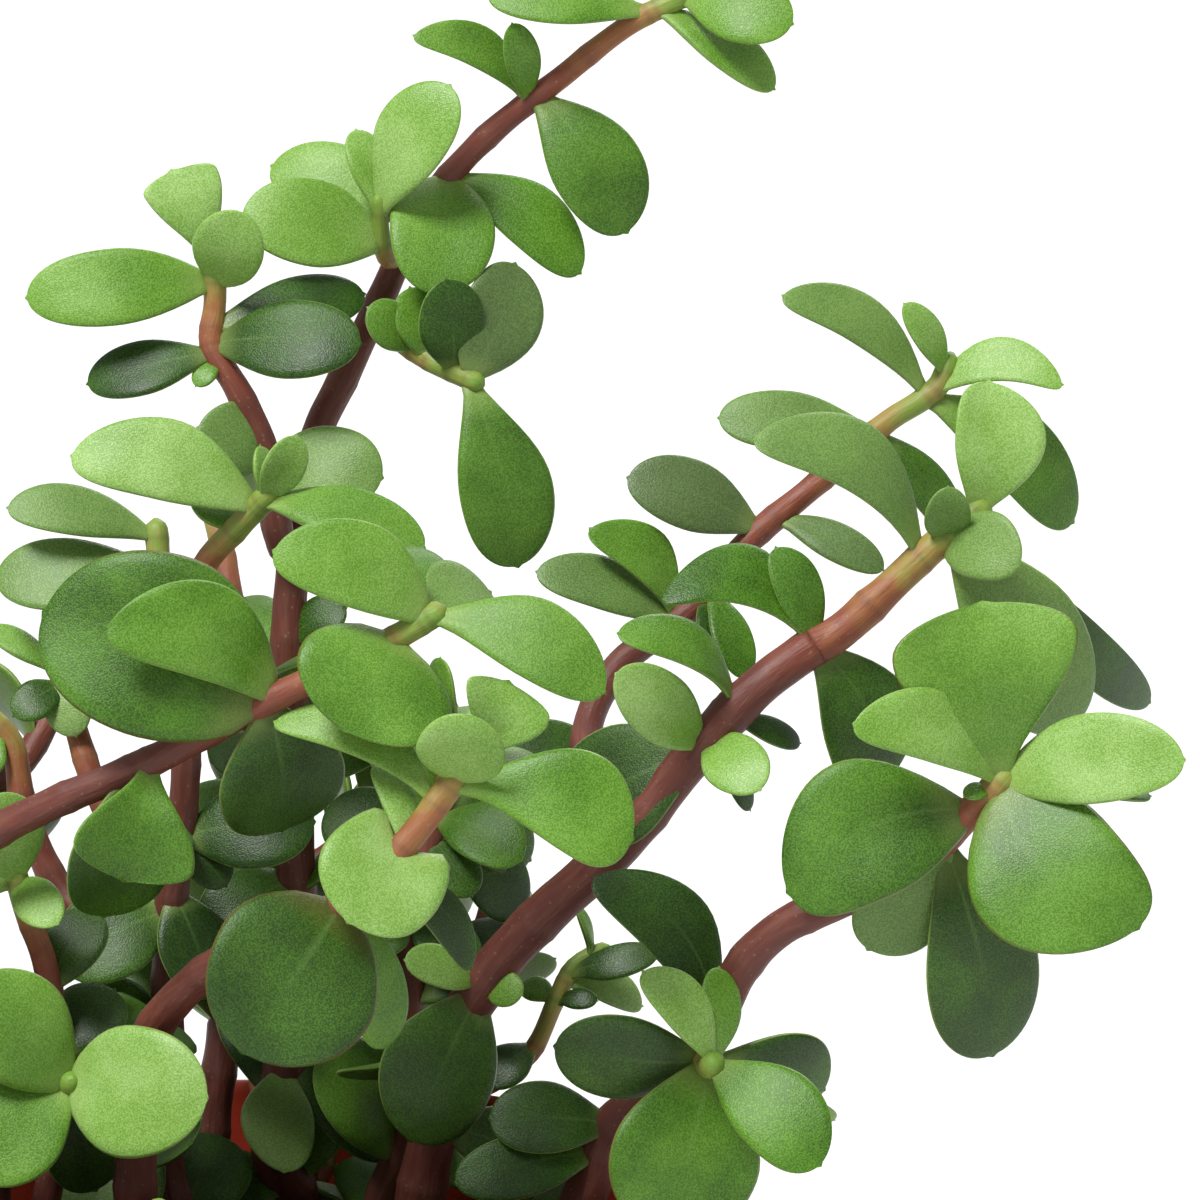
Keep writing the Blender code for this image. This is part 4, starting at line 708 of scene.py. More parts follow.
def spokes(side, ahead, sides):
    """The unit vectors around a line from one side of it on, each with its angle."""
    other = ahead.cross(side)
    for k in range(sides):
        angle = 2 * math.pi * k / sides
        yield angle, side * math.cos(angle) + other * math.sin(angle)


def tube_faces(rings, sides):
    """The faces of a closed tube of rings: its first end, its sides and its last end."""
    faces = [tuple(range(sides))[::-1]]
    for low in range(0, (rings - 1) * sides, sides):
        for k in range(sides):
            n = (k + 1) % sides
            faces.append((low + k, low + n, low + sides + n, low + sides + k))
    return faces + [tuple(range((rings - 1) * sides, rings * sides))]


def tube_mesh(on, extra):
    """A closed tapering tube along a branch, with round rings carried along it without twist."""
    side = across_to(SIDEWAYS, forward(on.line, 0))
    points = []
    places = ring_places(on.line)
    for i in places:
        ahead = forward(on.line, i)
        side = across_to(side, ahead)
        points += [on.line[i] + spoke * (on.radii[i] + extra) for _, spoke in spokes(side, ahead, BARK_SIDES)]
    return points, tube_faces(len(places), BARK_SIDES)


def tree(mesh):
    """A search tree over a mesh's faces, to test it against others."""
    return BVHTree.FromPolygons(*mesh)


def turned_leaf(leaf, degrees, share):
    """The leaf turned about its own face and shortened, both about its root."""
    turn = Matrix.Rotation(math.radians(degrees), 3, leaf.face)
    tip = leaf.root + turn @ (leaf.tip - leaf.root) * share
    return leaf._replace(tip=tip, width=leaf.width * share)


def bent_leaf(leaf, nearer):
    """The leaf with its tip moved along the line of sight, so that it looks the same from the eye."""
    ray = (leaf.tip - EYE).normalized()
    tip = leaf.tip - ray * nearer * MM
    return leaf._replace(tip=tip, face=across_to(leaf.face, (tip - leaf.root).normalized()))


def variants(leaf):
    """The leaf as it is, and then the ways in which it may be bent clear of another stem."""
    yield leaf
    if leaf.in_photo:
        for nearer in (3, -3, 6, -6, 9, -9, 12, -12):
            yield bent_leaf(leaf, nearer)
    else:
        for degrees in (18, -18, 36, -36):
            for share in (1, 0.8):
                yield turned_leaf(leaf, degrees, share)


def crosses(shape, leaf, name, other):
    """Whether a leaf crosses one already placed. Blades of one stem may meet near their roots."""
    other_name, other_leaf, other_tree = other
    middle, other_middle = (leaf.root + leaf.tip) / 2, (other_leaf.root + other_leaf.tip) / 2
    reach = (leaf.tip - leaf.root).length + (other_leaf.tip - other_leaf.root).length
    if (middle - other_middle).length > reach:
        return False
    if other_name == name and (leaf.in_photo or (other_leaf.root - leaf.root).length < 2 * MM):
        return False
    return bool(shape.overlap(other_tree))


def clear_of_pot(leaf):
    """Whether a blade stays off the pot and the soil: above the rim, outside it, or over the soil."""
    for along in range(1, 10):
        for across in (-1, -0.5, 0, 0.5, 1):
            spot = blade_point(leaf, along / 9, across, 0)
            radius = math.hypot(spot.x, spot.y)
            if spot.z > POT_HEIGHT + POT_MARGIN or radius > POT_RADIUS + POT_MARGIN:
                continue
            if radius > POT_RADIUS - 2 * LIP_RADIUS - POT_MARGIN or spot.z < SOIL_TOP + POT_MARGIN:
                return False
    return True


def spoils_view(leaf):
    """Whether a grown blade would be seen in an open place of the photograph, or before its near stems."""
    for along in range(1, 9):
        for across in (-1, 0, 1):
            spot = blade_point(leaf, along / 8, across, 0)
            place = in_picture(spot)
            if spot.y < NEAR_SIDE and 0 < place.x < PICTURE / MM and place.y < PICTURE / MM:
                return True
            if any((place - Vector(middle)).length < radius for *middle, radius in OPEN_PLACES):
                return True
    return False


def first_clear(leaf, name, placed, barks):
    """The first variant of a leaf that is clear of the other stems and of their leaves, or nothing."""
    others = [bark for other, trees in barks.items() if other != name for bark in trees]
    for option in variants(leaf):
        if not clear_of_pot(option) or (not option.in_photo and spoils_view(option)):
            continue
        shape = tree(leaf_mesh(option, LEAF_CLEARANCE))
        if any(shape.overlap(bark) for bark in others):
            continue
        if not any(crosses(shape, option, name, other) for other in placed):
            return option
    return None


def arranged(stems):
    """Each stem's leaves, bent clear of the other stems. One with no clear place is left out."""
    barks = {}
    for name, (branches, _) in stems.items():
        barks[name] = [tree(tube_mesh(on, LEAF_CLEARANCE)) for on in branches]
    placed = []
    kept = {name: [] for name in stems}
    for in_photo in (True, False):
        for name, (_, leaves) in stems.items():
            for leaf in leaves:
                found = first_clear(leaf, name, placed, barks) if leaf.in_photo == in_photo else None
                if found:
                    kept[name].append(found)
                    placed.append((name, found, tree(leaf_mesh(found))))
    return kept


# Finer values for the look

LEAF_RINGS = 24
LEAF_SIDES = 20
LEAF_RIM_POWER = 0.72
SMALL_WIDTH = 7.5 * MM
WIDE_WIDTH = 12 * MM
RED_SPAN = 5 * MM
MUCRO = 0.25 * MM
UPPER_SHARE = 0.44
NECK_HALF_WIDTH = 0.85 * MM
BARK_RING_STEP = 0.5 * MM
FINE_BARK_SIDES = 16
NODE_SPACING = 10 * MM
SWELLING_REACH = 1.3 * MM
SCAR_REACH = 0.3 * MM
GROWN_LENGTH = 26 * MM
SLOW_LENGTH = 50 * MM
POT_SEGMENTS = 160
FILLET_STEPS = 4

# Branches whose bark stays olive or tan for longer, by where their ends are seen
YOUNG_ENDS = (
    (27.4, 49), (44.6, 60.7), (48.4, 74), (99, 50.2), (61, 94.6), (95.2, 35.2), (70, -1), (48.4, 38.6),
    (81.4, 64.6),
)
END_TOLERANCE = 0.8


def tone_of(leaf, rng):
    """How light a leaf is, from -1 to 1: as seen in the photograph, or by its size where it was grown."""
    # A given tone is partly the leaf's own colour and partly painted light and shade
    if leaf.tone is not None:
        return leaf.tone + rng.uniform(-0.12, 0.12)
    if leaf.in_photo:
        return rng.uniform(-0.1, 0.2)
    return rng.uniform(-0.8, 0) + (0.4 if leaf.width < SMALL_WIDTH else 0)


def fine_leaf(leaf, rng):
    """A fleshy blade with a rounded rim, as points, faces and what its material needs at each point."""
    u = np.arange(LEAF_RINGS) / LEAF_RINGS
    t = 1 - (1 - u) ** 2
    angle = 2 * math.pi * np.arange(LEAF_SIDES) / LEAF_SIDES
    s, up = np.cos(angle), np.sin(angle)
    phases = [rng.uniform(0, 2 * math.pi) for _ in range(4)]
    half = np.array([half_width(float(k), leaf.disc) for k in t]) * leaf.width / 2
    half = np.maximum(half, NECK_HALF_WIDTH * (1 - u))[:, None]
    edge = 1 + 0.018 * np.sin(7 * t + phases[0])[:, None] * s + 0.02 * np.sin(4 * t + phases[1])[:, None]
    thick = (0.75 * MM + 0.075 * leaf.width) * (0.7 + 0.3 * np.sin(math.pi * np.minimum(1, t / 0.9)))
    thick = thick * np.sqrt(1 - np.clip((t - 0.72) / 0.28, 0, 1) ** 2.4)
    body = np.sign(up) * np.abs(up) ** LEAF_RIM_POWER * np.where(up > 0, UPPER_SHARE, 1 - UPPER_SHARE)
    groove = 0.1 * np.exp(-((s / 0.12) ** 2)) * np.where(up > 0.5, 1, 0) * np.clip(1 - t * 1.1, 0, 1)[:, None]
    lift = thick[:, None] * (body - groove)
    wave = 0.035 * half * np.sin(2.6 * s + phases[2]) * np.sin(6 * t + phases[3])[:, None]
    length = np.array(leaf.tip - leaf.root)
    reach = float(np.linalg.norm(length))
    face = np.array(leaf.face)
    side = np.cross(length / reach, face)
    bow = (reach * 4 * t * (1 - t))[:, None]
    rise = leaf.arch * bow + leaf.fold * half * s * s + wave + lift
    sideways = half * edge * s + leaf.sweep * bow
    root = np.array(leaf.root)
    along = t[:, None] - np.array([[lobe(float(k), float(w), leaf.disc) for w in s] for k in t])
    rings = root + length * along[:, :, None] + side * sideways[:, :, None] + face * rise[:, :, None]
    mucro = np.array(leaf.tip) + length / reach * MUCRO
    points = np.vstack((rings.reshape(-1, 3), mucro))
    along = np.append(np.repeat(t, LEAF_SIDES), 1)
    across = np.append(np.tile(np.abs(s), LEAF_RINGS), 1)
    upper = np.append(np.tile(up, LEAF_RINGS), 0)
    return points, blade_faces(), along, across, upper


def blade_faces():
    """The faces of a fine blade: a tube turned inside out, whose last ring closes on the mucro."""
    faces = [face[:1] + face[:0:-1] for face in tube_faces(LEAF_RINGS, LEAF_SIDES)[:-1]]
    mucro = LEAF_RINGS * LEAF_SIDES
    last = mucro - LEAF_SIDES
    return faces + [(last + k, mucro, last + (k + 1) % LEAF_SIDES) for k in range(LEAF_SIDES)]


def new_piece(name, points, faces, finish, node=None):
    """A smooth mesh object that rides with the pot and, where a node is given, stands for it."""
    data = bpy.data.meshes.new(name)
    data.from_pydata(points, [], faces)
    data.materials.append(finish)
    data.shade_smooth()
    piece = bpy.data.objects.new(name, data)
    bpy.context.scene.collection.objects.link(piece)
    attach(piece, "root")
    if node:
        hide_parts(node)
    return piece


def paint_points(piece, names, columns):
    """Stores one number a point under each name, for the material to read."""
    for name, numbers in zip(names, columns):
        attribute = piece.data.attributes.new(name, "FLOAT", "POINT")
        attribute.data.foreach_set("value", np.asarray(numbers, np.float32))


def merged(parts):
    """Points and faces of several meshes as one."""
    points, faces, first = [], [], 0
    for part_points, part_faces in parts:
        points.append(np.asarray(part_points, float))
        faces += [tuple(first + k for k in face) for face in part_faces]
        first += len(part_points)
    return np.vstack(points), faces


def build_leaves(name, leaves, finish):
    """All the blades of one leafy stem as one piece."""
    rng = random.Random(name)
    meshes, marks = [], []
    for leaf in leaves:
        points, faces, along, across, upper = fine_leaf(leaf, rng)
        meshes.append((points, faces))
        tone = tone_of(leaf, rng)
        redness = min(1, max(0, (leaf.width - WIDE_WIDTH) / RED_SPAN)) * (0.9 if tone < 0.3 else 0.5)
        greyness = 1 if leaf.grey else rng.uniform(0, 0.2)
        even = np.ones(len(points))
        marks.append((along, across, upper, even * (tone * 0.5 + 0.5), even * redness, even * greyness))
    points, faces = merged(meshes)
    piece = new_piece(name.replace("stem_", "") + "_leaves", points, faces, finish, name)
    names = ("along", "across", "upper", "tone", "rim", "bloom")
    paint_points(piece, names, np.concatenate(marks, axis=1))


def node_places(on, leaves, rng):
    """Where a branch has its nodes, in metres along it: at its leaves, and where older leaves fell."""
    places = set()
    for leaf in leaves:
        distances = [(leaf.root - point).length for point in on.line]
        nearest = min(distances)
        if nearest < 0.5 * LINE_STEP:
            places.add(distances.index(nearest) * LINE_STEP)
    known = sorted(places) + [len(on.line) * LINE_STEP]
    before = 0.0
    for place in known:
        count = int((place - before) / NODE_SPACING)
        for k in range(1, count + 1):
            places.add(before + (place - before) * k / (count + 1) + rng.uniform(-1, 1) * MM)
        before = place
    return sorted(places)


def fine_bark(on, leaves, beyond, rng):
    """Smooth bark with a swelling and a ring scar at each node, its age, its nodes and its own place.

    Where the branch carries on as another one, `beyond` is the length of that one.
    """
    end = in_picture(on.line[-1])
    young = any((end - Vector(spot)).length < END_TOLERANCE for spot in YOUNG_ENDS)
    grown = (SLOW_LENGTH if young else GROWN_LENGTH) / (0.6 + 0.4 * on.radii[0] / MM)
    total = (len(on.line) - 1) * LINE_STEP
    rings = int(total / BARK_RING_STEP) + 1
    nodes = node_places(on, leaves, rng)
    side = across_to(SIDEWAYS, forward(on.line, 0))
    points, age, ring_mark, place = [], [], [], []
    for ring in range(rings):
        distance = ring * BARK_RING_STEP
        i = min(int(distance / LINE_STEP), len(on.line) - 2)
        share = distance / LINE_STEP - i
        centre = on.line[i].lerp(on.line[i + 1], share)
        radius = on.radii[i] * (1 - share) + on.radii[i + 1] * share
        swelling, scar = (
            min(1, sum(math.exp(-(((distance - node) / reach) ** 2)) for node in nodes))
            for reach in (SWELLING_REACH, SCAR_REACH)
        )
        radius *= 1 + 0.06 * swelling + 0.03 * scar
        left = total - distance
        if left < radius and not beyond:
            radius *= math.sqrt(max(0.05, 1 - (1 - left / radius) ** 2))
        ahead = forward(on.line, i).lerp(forward(on.line, i + 1), share).normalized()
        side = across_to(side, ahead)
        for angle, spoke in spokes(side, ahead, FINE_BARK_SIDES):
            rough = 1 + 0.05 * noise.noise(centre * 300 + spoke)
            points.append(centre + spoke * radius * rough)
            place.append((radius * math.cos(angle), radius * math.sin(angle), distance))
        age += [min(1, (left + beyond) / grown)] * FINE_BARK_SIDES
        ring_mark += [scar] * FINE_BARK_SIDES
    return points, tube_faces(rings, FINE_BARK_SIDES), age, ring_mark, place


def build_bark(name, branches, leaves, finish):
    """The bark of one leafy stem with its side branches as one piece."""
    rng = random.Random(name)
    meshes, age, ring_mark, place = [], [], [], []
    for on in branches:
        onward = [len(other.line) for other in branches if (other.line[0] - on.line[-1]).length < MM]
        beyond = max(onward, default=0) * LINE_STEP
        points, faces, branch_age, branch_marks, branch_place = fine_bark(on, leaves, beyond, rng)
        meshes.append((points, faces))
        age += branch_age
        ring_mark += branch_marks
        place += branch_place
    points, faces = merged(meshes)
    piece = new_piece(name.replace("stem_", "") + "_bark", points, faces, finish, name)
    paint_points(piece, ("age", "ring_mark"), (age, ring_mark))
    attribute = piece.data.attributes.new("bark_place", "FLOAT_VECTOR", "POINT")
    attribute.data.foreach_set("vector", np.asarray(place, np.float32).ravel())


# Materials


class Paint:
    """One node material, built up step by step on its Principled shader."""

    def __init__(self, name, colour, **settings):
        self.made = bpy.data.materials.new(name)
        self.made.use_nodes = True
        self.tree = self.made.node_tree
        self.shader = self.tree.nodes["Principled BSDF"]
        self.made.diffuse_color = (*colour, 1)
        self.shader.inputs["Base Color"].default_value = (*colour, 1)
        for key, value in settings.items():
            self.shader.inputs[key.replace("_", " ")].default_value = value

    def node(self, kind, inputs=(), **settings):
        made = self.tree.nodes.new("ShaderNode" + kind)
        for key, value in settings.items():
            setattr(made, key, value)
        for key, value in dict(inputs).items():
            self.feed(value, made.inputs[key])
        return made

    def feed(self, value, socket):
        if isinstance(value, bpy.types.NodeSocket):
            self.tree.links.new(value, socket)
        else:
            socket.default_value = value

    def attribute(self, name, kind="Fac"):
        return self.node("Attribute", attribute_name=name, attribute_type="GEOMETRY").outputs[kind]

    def place(self):
        return self.node("TexCoord").outputs["Object"]

    def scaled(self, vector, scale):
        return self.node("VectorMath", {0: vector, 1: scale}, operation="MULTIPLY").outputs[0]

    def noise(self, vector, scale, detail, roughness=0.5):
        inputs = {"Vector": vector, "Scale": scale, "Detail": detail, "Roughness": roughness}
        return self.node("TexNoise", inputs).outputs["Fac"]

    def cells(self, vector, scale):
        return self.node("TexVoronoi", {"Vector": vector, "Scale": scale}).outputs["Distance"]

    def spread(self, value, low, high, to_low=0.0, to_high=1.0):
        inputs = {"Value": value, "From Min": low, "From Max": high, "To Min": to_low, "To Max": to_high}
        return self.node("MapRange", inputs, interpolation_type="SMOOTHSTEP").outputs["Result"]

    def plus(self, a, b):
        return self.node("Math", {0: a, 1: b}, operation="ADD").outputs[0]

    def times(self, a, b):
        return self.node("Math", {0: a, 1: b}, operation="MULTIPLY").outputs[0]

    def mix(self, share, a, b):
        made = self.node("Mix", data_type="RGBA")
        for socket, value in ((0, share), (6, a), (7, b)):
            self.feed((*value, 1) if isinstance(value, tuple) else value, made.inputs[socket])
        return made.outputs[2]

    def ramp(self, value, stops):
        made = self.node("ValToRGB", {"Fac": value})
        elements = made.color_ramp.elements
        for place in list(stops)[1:-1]:
            elements.new(place)
        for element, colour in zip(elements, stops.values()):
            element.color = (*colour, 1)
        return made.outputs["Color"]

    def bump(self, height, distance, strength, below=None):
        inputs = {"Height": height, "Distance": distance, "Strength": strength}
        if below:
            inputs["Normal"] = below
        return self.node("Bump", inputs).outputs["Normal"]

    def finish(self, colour, roughness, normal=None):
        for value, name in ((colour, "Base Color"), (roughness, "Roughness"), (normal, "Normal")):
            if value is not None:
                self.feed(value, self.shader.inputs[name])
        return self.made


def leaf_paint():
    """Waxy green skin: lighter when young, greyer below, finely grained, with a thin paler rim; painted light
    and shade set part of each leaf's lightness and darken the underside.
    """
    paint = Paint(
        "leaf_skin",
        (0.075, 0.19, 0.035),
        Subsurface_Weight=0.08,
        Subsurface_Scale=0.0015,
        Subsurface_Radius=(0.5, 1.0, 0.2),
        Specular_IOR_Level=0.32,
    )
    spot = paint.place()
    tone, bloom = paint.attribute("tone"), paint.attribute("bloom")
    along, across = paint.attribute("along"), paint.attribute("across")
    upper, rim = paint.attribute("upper"), paint.attribute("rim")
    patches = paint.noise(spot, 110, 3)
    grain = paint.spread(paint.noise(spot, 6000, 1), 0.3, 0.7)
    # Painted light and shade: besides each leaf's own colour, its tone draws how lit or shaded the leaf looks
    clouded = paint.plus(tone, paint.spread(patches, 0.3, 0.7, -0.1, 0.1))
    green = paint.ramp(paint.plus(clouded, paint.spread(grain, 0.0, 1.0, -0.08, 0.12)), {
        0.0: (0.007, 0.027, 0.001), 0.2: (0.023, 0.073, 0.002), 0.45: (0.068, 0.182, 0.008),
        0.7: (0.150, 0.305, 0.036), 1.0: (0.320, 0.490, 0.160),
    })
    grey = paint.mix(grain, (0.115, 0.180, 0.055), (0.180, 0.262, 0.098))
    green = paint.mix(paint.times(bloom, 0.5), green, grey)
    neck = paint.spread(along, 0.26, 0.02, 0.0, 0.5)
    browned = paint.times(rim, paint.spread(tone, 0.6, 0.15))
    green = paint.mix(neck, green, paint.mix(browned, (0.27, 0.37, 0.10), (0.13, 0.075, 0.028)))
    # Partly the underside's own greyer colour and partly painted shade, which draws it darker
    below = paint.spread(upper, 0.15, -0.25, 0.0, 0.5)
    green = paint.mix(below, green, (0.080, 0.130, 0.030))
    rib = paint.times(paint.spread(across, 0.08, 0.0, 0.0, 0.22), paint.spread(along, 0.8, 0.1))
    green = paint.mix(rib, green, (0.17, 0.30, 0.08))
    rim_colour = paint.mix(rim, (0.24, 0.34, 0.085), (0.12, 0.040, 0.016))
    rim_line = paint.times(paint.spread(across, 0.965, 0.998), 0.7)
    green = paint.mix(rim_line, green, rim_colour)
    grain_bump = paint.bump(grain, 0.00005, 0.35)
    skin_bump = paint.bump(paint.noise(spot, 600, 2), 0.00015, 0.25, grain_bump)
    gloss = paint.spread(patches, 0.3, 0.7, 0.36, 0.46)
    return paint.finish(green, gloss, skin_bump)


def bark_paint():
    """Satin bark: olive at the tip, then orange-tan, then maroon, with darker ring scars and pale flecks."""
    paint = Paint("bark_skin", (0.16, 0.05, 0.04), Specular_IOR_Level=0.35)
    place = paint.attribute("bark_place", "Vector")
    age, rings = paint.attribute("age"), paint.attribute("ring_mark")
    streaks = paint.noise(paint.scaled(place, (1.0, 1.0, 0.16)), 1500, 4, 0.6)
    patches = paint.noise(place, 260, 3)
    bark = paint.ramp(paint.plus(age, paint.spread(patches, 0.3, 0.7, -0.1, 0.1)), {
        0.0: (0.14, 0.27, 0.030), 0.12: (0.21, 0.28, 0.045), 0.23: (0.28, 0.21, 0.045),
        0.36: (0.27, 0.105, 0.035), 0.55: (0.20, 0.050, 0.025), 0.8: (0.150, 0.036, 0.022),
        1.0: (0.110, 0.029, 0.020),
    })
    bark = paint.mix(paint.spread(streaks, 0.4, 0.75, 0.0, 0.18), bark, (0.30, 0.14, 0.08))
    bark = paint.mix(paint.spread(streaks, 0.45, 0.2, 0.0, 0.3), bark, (0.05, 0.016, 0.016))
    flecks = paint.spread(paint.cells(place, 1100), 0.18, 0.08, 0.0, 0.22)
    bark = paint.mix(flecks, bark, (0.42, 0.27, 0.19))
    bark = paint.mix(paint.times(rings, 0.3), bark, (0.10, 0.045, 0.03))
    bump = paint.bump(streaks, 0.00035, 0.5)
    return paint.finish(bark, paint.spread(streaks, 0.2, 0.8, 0.42, 0.6), bump)


def pot_paint():
    """Red-brown moulded plastic with a fine grain and a little dust."""
    paint = Paint("pot_skin", (0.33, 0.030, 0.013), Specular_IOR_Level=0.4)
    spot = paint.place()
    grain = paint.noise(spot, 1800, 3)
    clouds = paint.noise(spot, 45, 4)
    red = paint.mix(paint.spread(clouds, 0.3, 0.75), (0.30, 0.027, 0.011), (0.37, 0.040, 0.017))
    dust = paint.spread(paint.noise(spot, 240, 6, 0.7), 0.56, 0.8, 0.0, 0.15)
    red = paint.mix(dust, red, (0.42, 0.20, 0.14))
    scuffs = paint.noise(paint.scaled(spot, (0.25, 0.25, 6.0)), 500, 4, 0.6)
    rough = paint.spread(scuffs, 0.35, 0.75, 0.36, 0.55)
    return paint.finish(red, rough, paint.bump(grain, 0.00006, 0.6))


def soil_paint():
    """Damp dark potting mix."""
    paint = Paint("soil_skin", (0.03, 0.018, 0.011))
    spot = paint.place()
    lumps = paint.noise(spot, 900, 5, 0.7)
    earth = paint.mix(paint.spread(lumps, 0.3, 0.7), (0.013, 0.008, 0.005), (0.062, 0.036, 0.020))
    return paint.finish(earth, 0.92, paint.bump(lumps, 0.0006, 0.9))


def perlite_paint():
    """Chalky white grains."""
    paint = Paint("perlite_skin", (0.62, 0.59, 0.53))
    spot = paint.place()
    pits = paint.noise(spot, 2600, 4, 0.6)
    white = paint.mix(paint.spread(pits, 0.3, 0.6), (0.36, 0.32, 0.27), (0.70, 0.68, 0.63))
    return paint.finish(white, 0.85, paint.bump(pits, 0.0003, 0.8))


def floor_paint():
    """A plain pale floor with a trace of grain."""
    paint = Paint("floor_skin", (0.66, 0.66, 0.66))
    grain = paint.noise(paint.place(), 60, 3)
    pale = paint.mix(paint.spread(grain, 0.3, 0.7), (0.65, 0.65, 0.65), (0.67, 0.67, 0.67))
    return paint.finish(pale, 0.6)


# Pot, soil and floor


def wall_radius(z):
    """The outer radius of the pot's wall below its band."""
    return POT_BASE_RADIUS + (POT_RADIUS - BAND_STEP - POT_BASE_RADIUS) * z / POT_HEIGHT


def filleted(profile, radius):
    """The profile with each inner corner rounded to about this radius."""
    made = [profile[0]]
    for before, corner, after in zip(profile, profile[1:], profile[2:]):
        before, corner, after = Vector(before), Vector(corner), Vector(after)
        reach = min(radius, (before - corner).length * 0.45, (after - corner).length * 0.45)
        start = corner + (before - corner).normalized() * reach
        end = corner + (after - corner).normalized() * reach
        for k in range(FILLET_STEPS + 1):
            share = k / FILLET_STEPS
            bend = start.lerp(corner, share).lerp(corner.lerp(end, share), share)
            made.append(tuple(bend))
    return made + [profile[-1]]


def turned_mesh(profile, segments):
    """Points and faces of a closed solid turned about the vertical axis; the ends lie on the axis."""
    points = [(0, 0, profile[0][1])]
    inner = profile[1:-1]
    for radius, z in inner:
        for k in range(segments):
            angle = 2 * math.pi * k / segments
            points.append((radius * math.cos(angle), radius * math.sin(angle), z))
    points.append((0, 0, profile[-1][1]))
    faces = []
    for k in range(segments):
        n = (k + 1) % segments
        faces.append((0, 1 + n, 1 + k))
        for ring in range(len(inner) - 1):
            low, high = 1 + ring * segments, 1 + (ring + 1) * segments
            faces.append((low + k, low + n, high + n, high + k))
        top = 1 + (len(inner) - 1) * segments
        faces.append((top + k, top + n, len(points) - 1))
    return points, faces


def build_pot_shell():
    """The pot as a smooth turned shell with rounded corners and its drain holes."""
    corner = 0.3 * LIP_RADIUS
    centre = POT_RADIUS - LIP_RADIUS
    inside = centre - LIP_RADIUS
    low, high = POT_HEIGHT - LIP_RADIUS, POT_HEIGHT - corner
    shoulder = wall_radius(BAND_LOW - BAND_STEP)
    profile = [
        (0, 0), (POT_BASE_RADIUS - FOOT_CHAMFER, 0), (wall_radius(FOOT_CHAMFER), FOOT_CHAMFER),
        (shoulder, BAND_LOW - BAND_STEP), (POT_RADIUS - BAND_CHAMFER, BAND_LOW),
        (POT_RADIUS, BAND_LOW + BAND_CHAMFER), (POT_RADIUS, low), (POT_RADIUS - corner, high),
        (centre, POT_HEIGHT), (inside + corner, high), (inside, low), (inside, BAND_LOW),
        (shoulder - POT_WALL, SOIL_BEND), (wall_radius(POT_FLOOR) - POT_WALL, POT_FLOOR), (0, POT_FLOOR),
    ]
    points, faces = turned_mesh(filleted(profile, CORNER_RADIUS), POT_SEGMENTS)
    pot = new_piece("pot_shell", points, faces, pot_paint(), "pot")
    cutters = []
    for k in range(DRAIN_HOLES):
        angle = 2 * math.pi * (k + 0.5) / DRAIN_HOLES
        spot = (DRAIN_CIRCLE * math.cos(angle), DRAIN_CIRCLE * math.sin(angle), 0)
        bpy.ops.mesh.primitive_cylinder_add(
            vertices=DRAIN_SIDES, radius=DRAIN_RADIUS, depth=4 * POT_FLOOR, location=spot
        )
        cutters.append(bpy.context.object)
        boolean = pot.modifiers.new("drain", "BOOLEAN")
        boolean.operation = "DIFFERENCE"
        boolean.object = cutters[-1]
    graph = bpy.context.evaluated_depsgraph_get()
    cut = bpy.data.meshes.new_from_object(pot.evaluated_get(graph))
    pot.modifiers.clear()
    pot.data = cut
    pot.data.set_sharp_from_angle(angle=CREASE_ANGLE)
    for cutter in cutters:
        bpy.data.objects.remove(cutter)


def lump(size, rng):
    """An irregular grain: a small ball pushed in and out, turned at random."""
    bm = bmesh.new()
    bmesh.ops.create_icosphere(bm, subdivisions=1, radius=1)
    spin, tilt = rng.uniform(0, 2 * math.pi), rng.uniform(-0.6, 0.6)
    turn = Matrix.Rotation(spin, 3, "Z") @ Matrix.Rotation(tilt, 3, "X")
    shift = Vector([rng.uniform(0, 50) for _ in range(3)])
    stretch = Vector([rng.uniform(*limits) for limits in GRAIN_STRETCH])
    points = []
    for vertex in bm.verts:
        spot = vertex.co * (1 + 0.45 * noise.noise(vertex.co * 1.3 + shift))
        points.append(turn @ (spot * stretch) * size)
    faces = [tuple(v.index for v in face.verts) for face in bm.faces]
    bm.free()
    return points, faces


def soil_height(x, y):
    """The height of the soil's surface: a shallow dome with crumbly unevenness."""
    dome = SOIL_TOP - SOIL_DOME * (math.hypot(x, y) / SOIL_RADIUS) ** 2
    hollows = noise.noise(Vector((x, y, 0)) * 120) * 0.7 * MM
    return dome + hollows + noise.noise(Vector((x, y, 5)) * 420) * 0.5 * MM


SOIL_RADIUS = wall_radius(BAND_LOW - BAND_STEP) - POT_WALL - GAP
SOIL_RINGS = 60
SOIL_SIDES = 150
CRUMBS = 1500
PERLITE = 80
FOOT_MARGIN = 2.4 * MM
GRAIN_STRETCH = ((0.7, 1.3), (0.6, 1.0), (0.5, 0.9))


def build_soil_body(finish):
    """The soil with an uneven top, down to the floor of the pot."""
    low = POT_FLOOR + GAP
    profile = [(0, low), (wall_radius(POT_FLOOR) - POT_WALL - GAP, low), (SOIL_RADIUS, SOIL_BEND)]
    profile += [(SOIL_RADIUS * ring / SOIL_RINGS, SOIL_TOP) for ring in range(SOIL_RINGS, -1, -1)]
    points, faces = turned_mesh(profile, SOIL_SIDES)
    points = [(x, y, soil_height(x, y) if z == SOIL_TOP else z) for x, y, z in points]
    new_piece("soil_body", points, faces, finish, "soil")


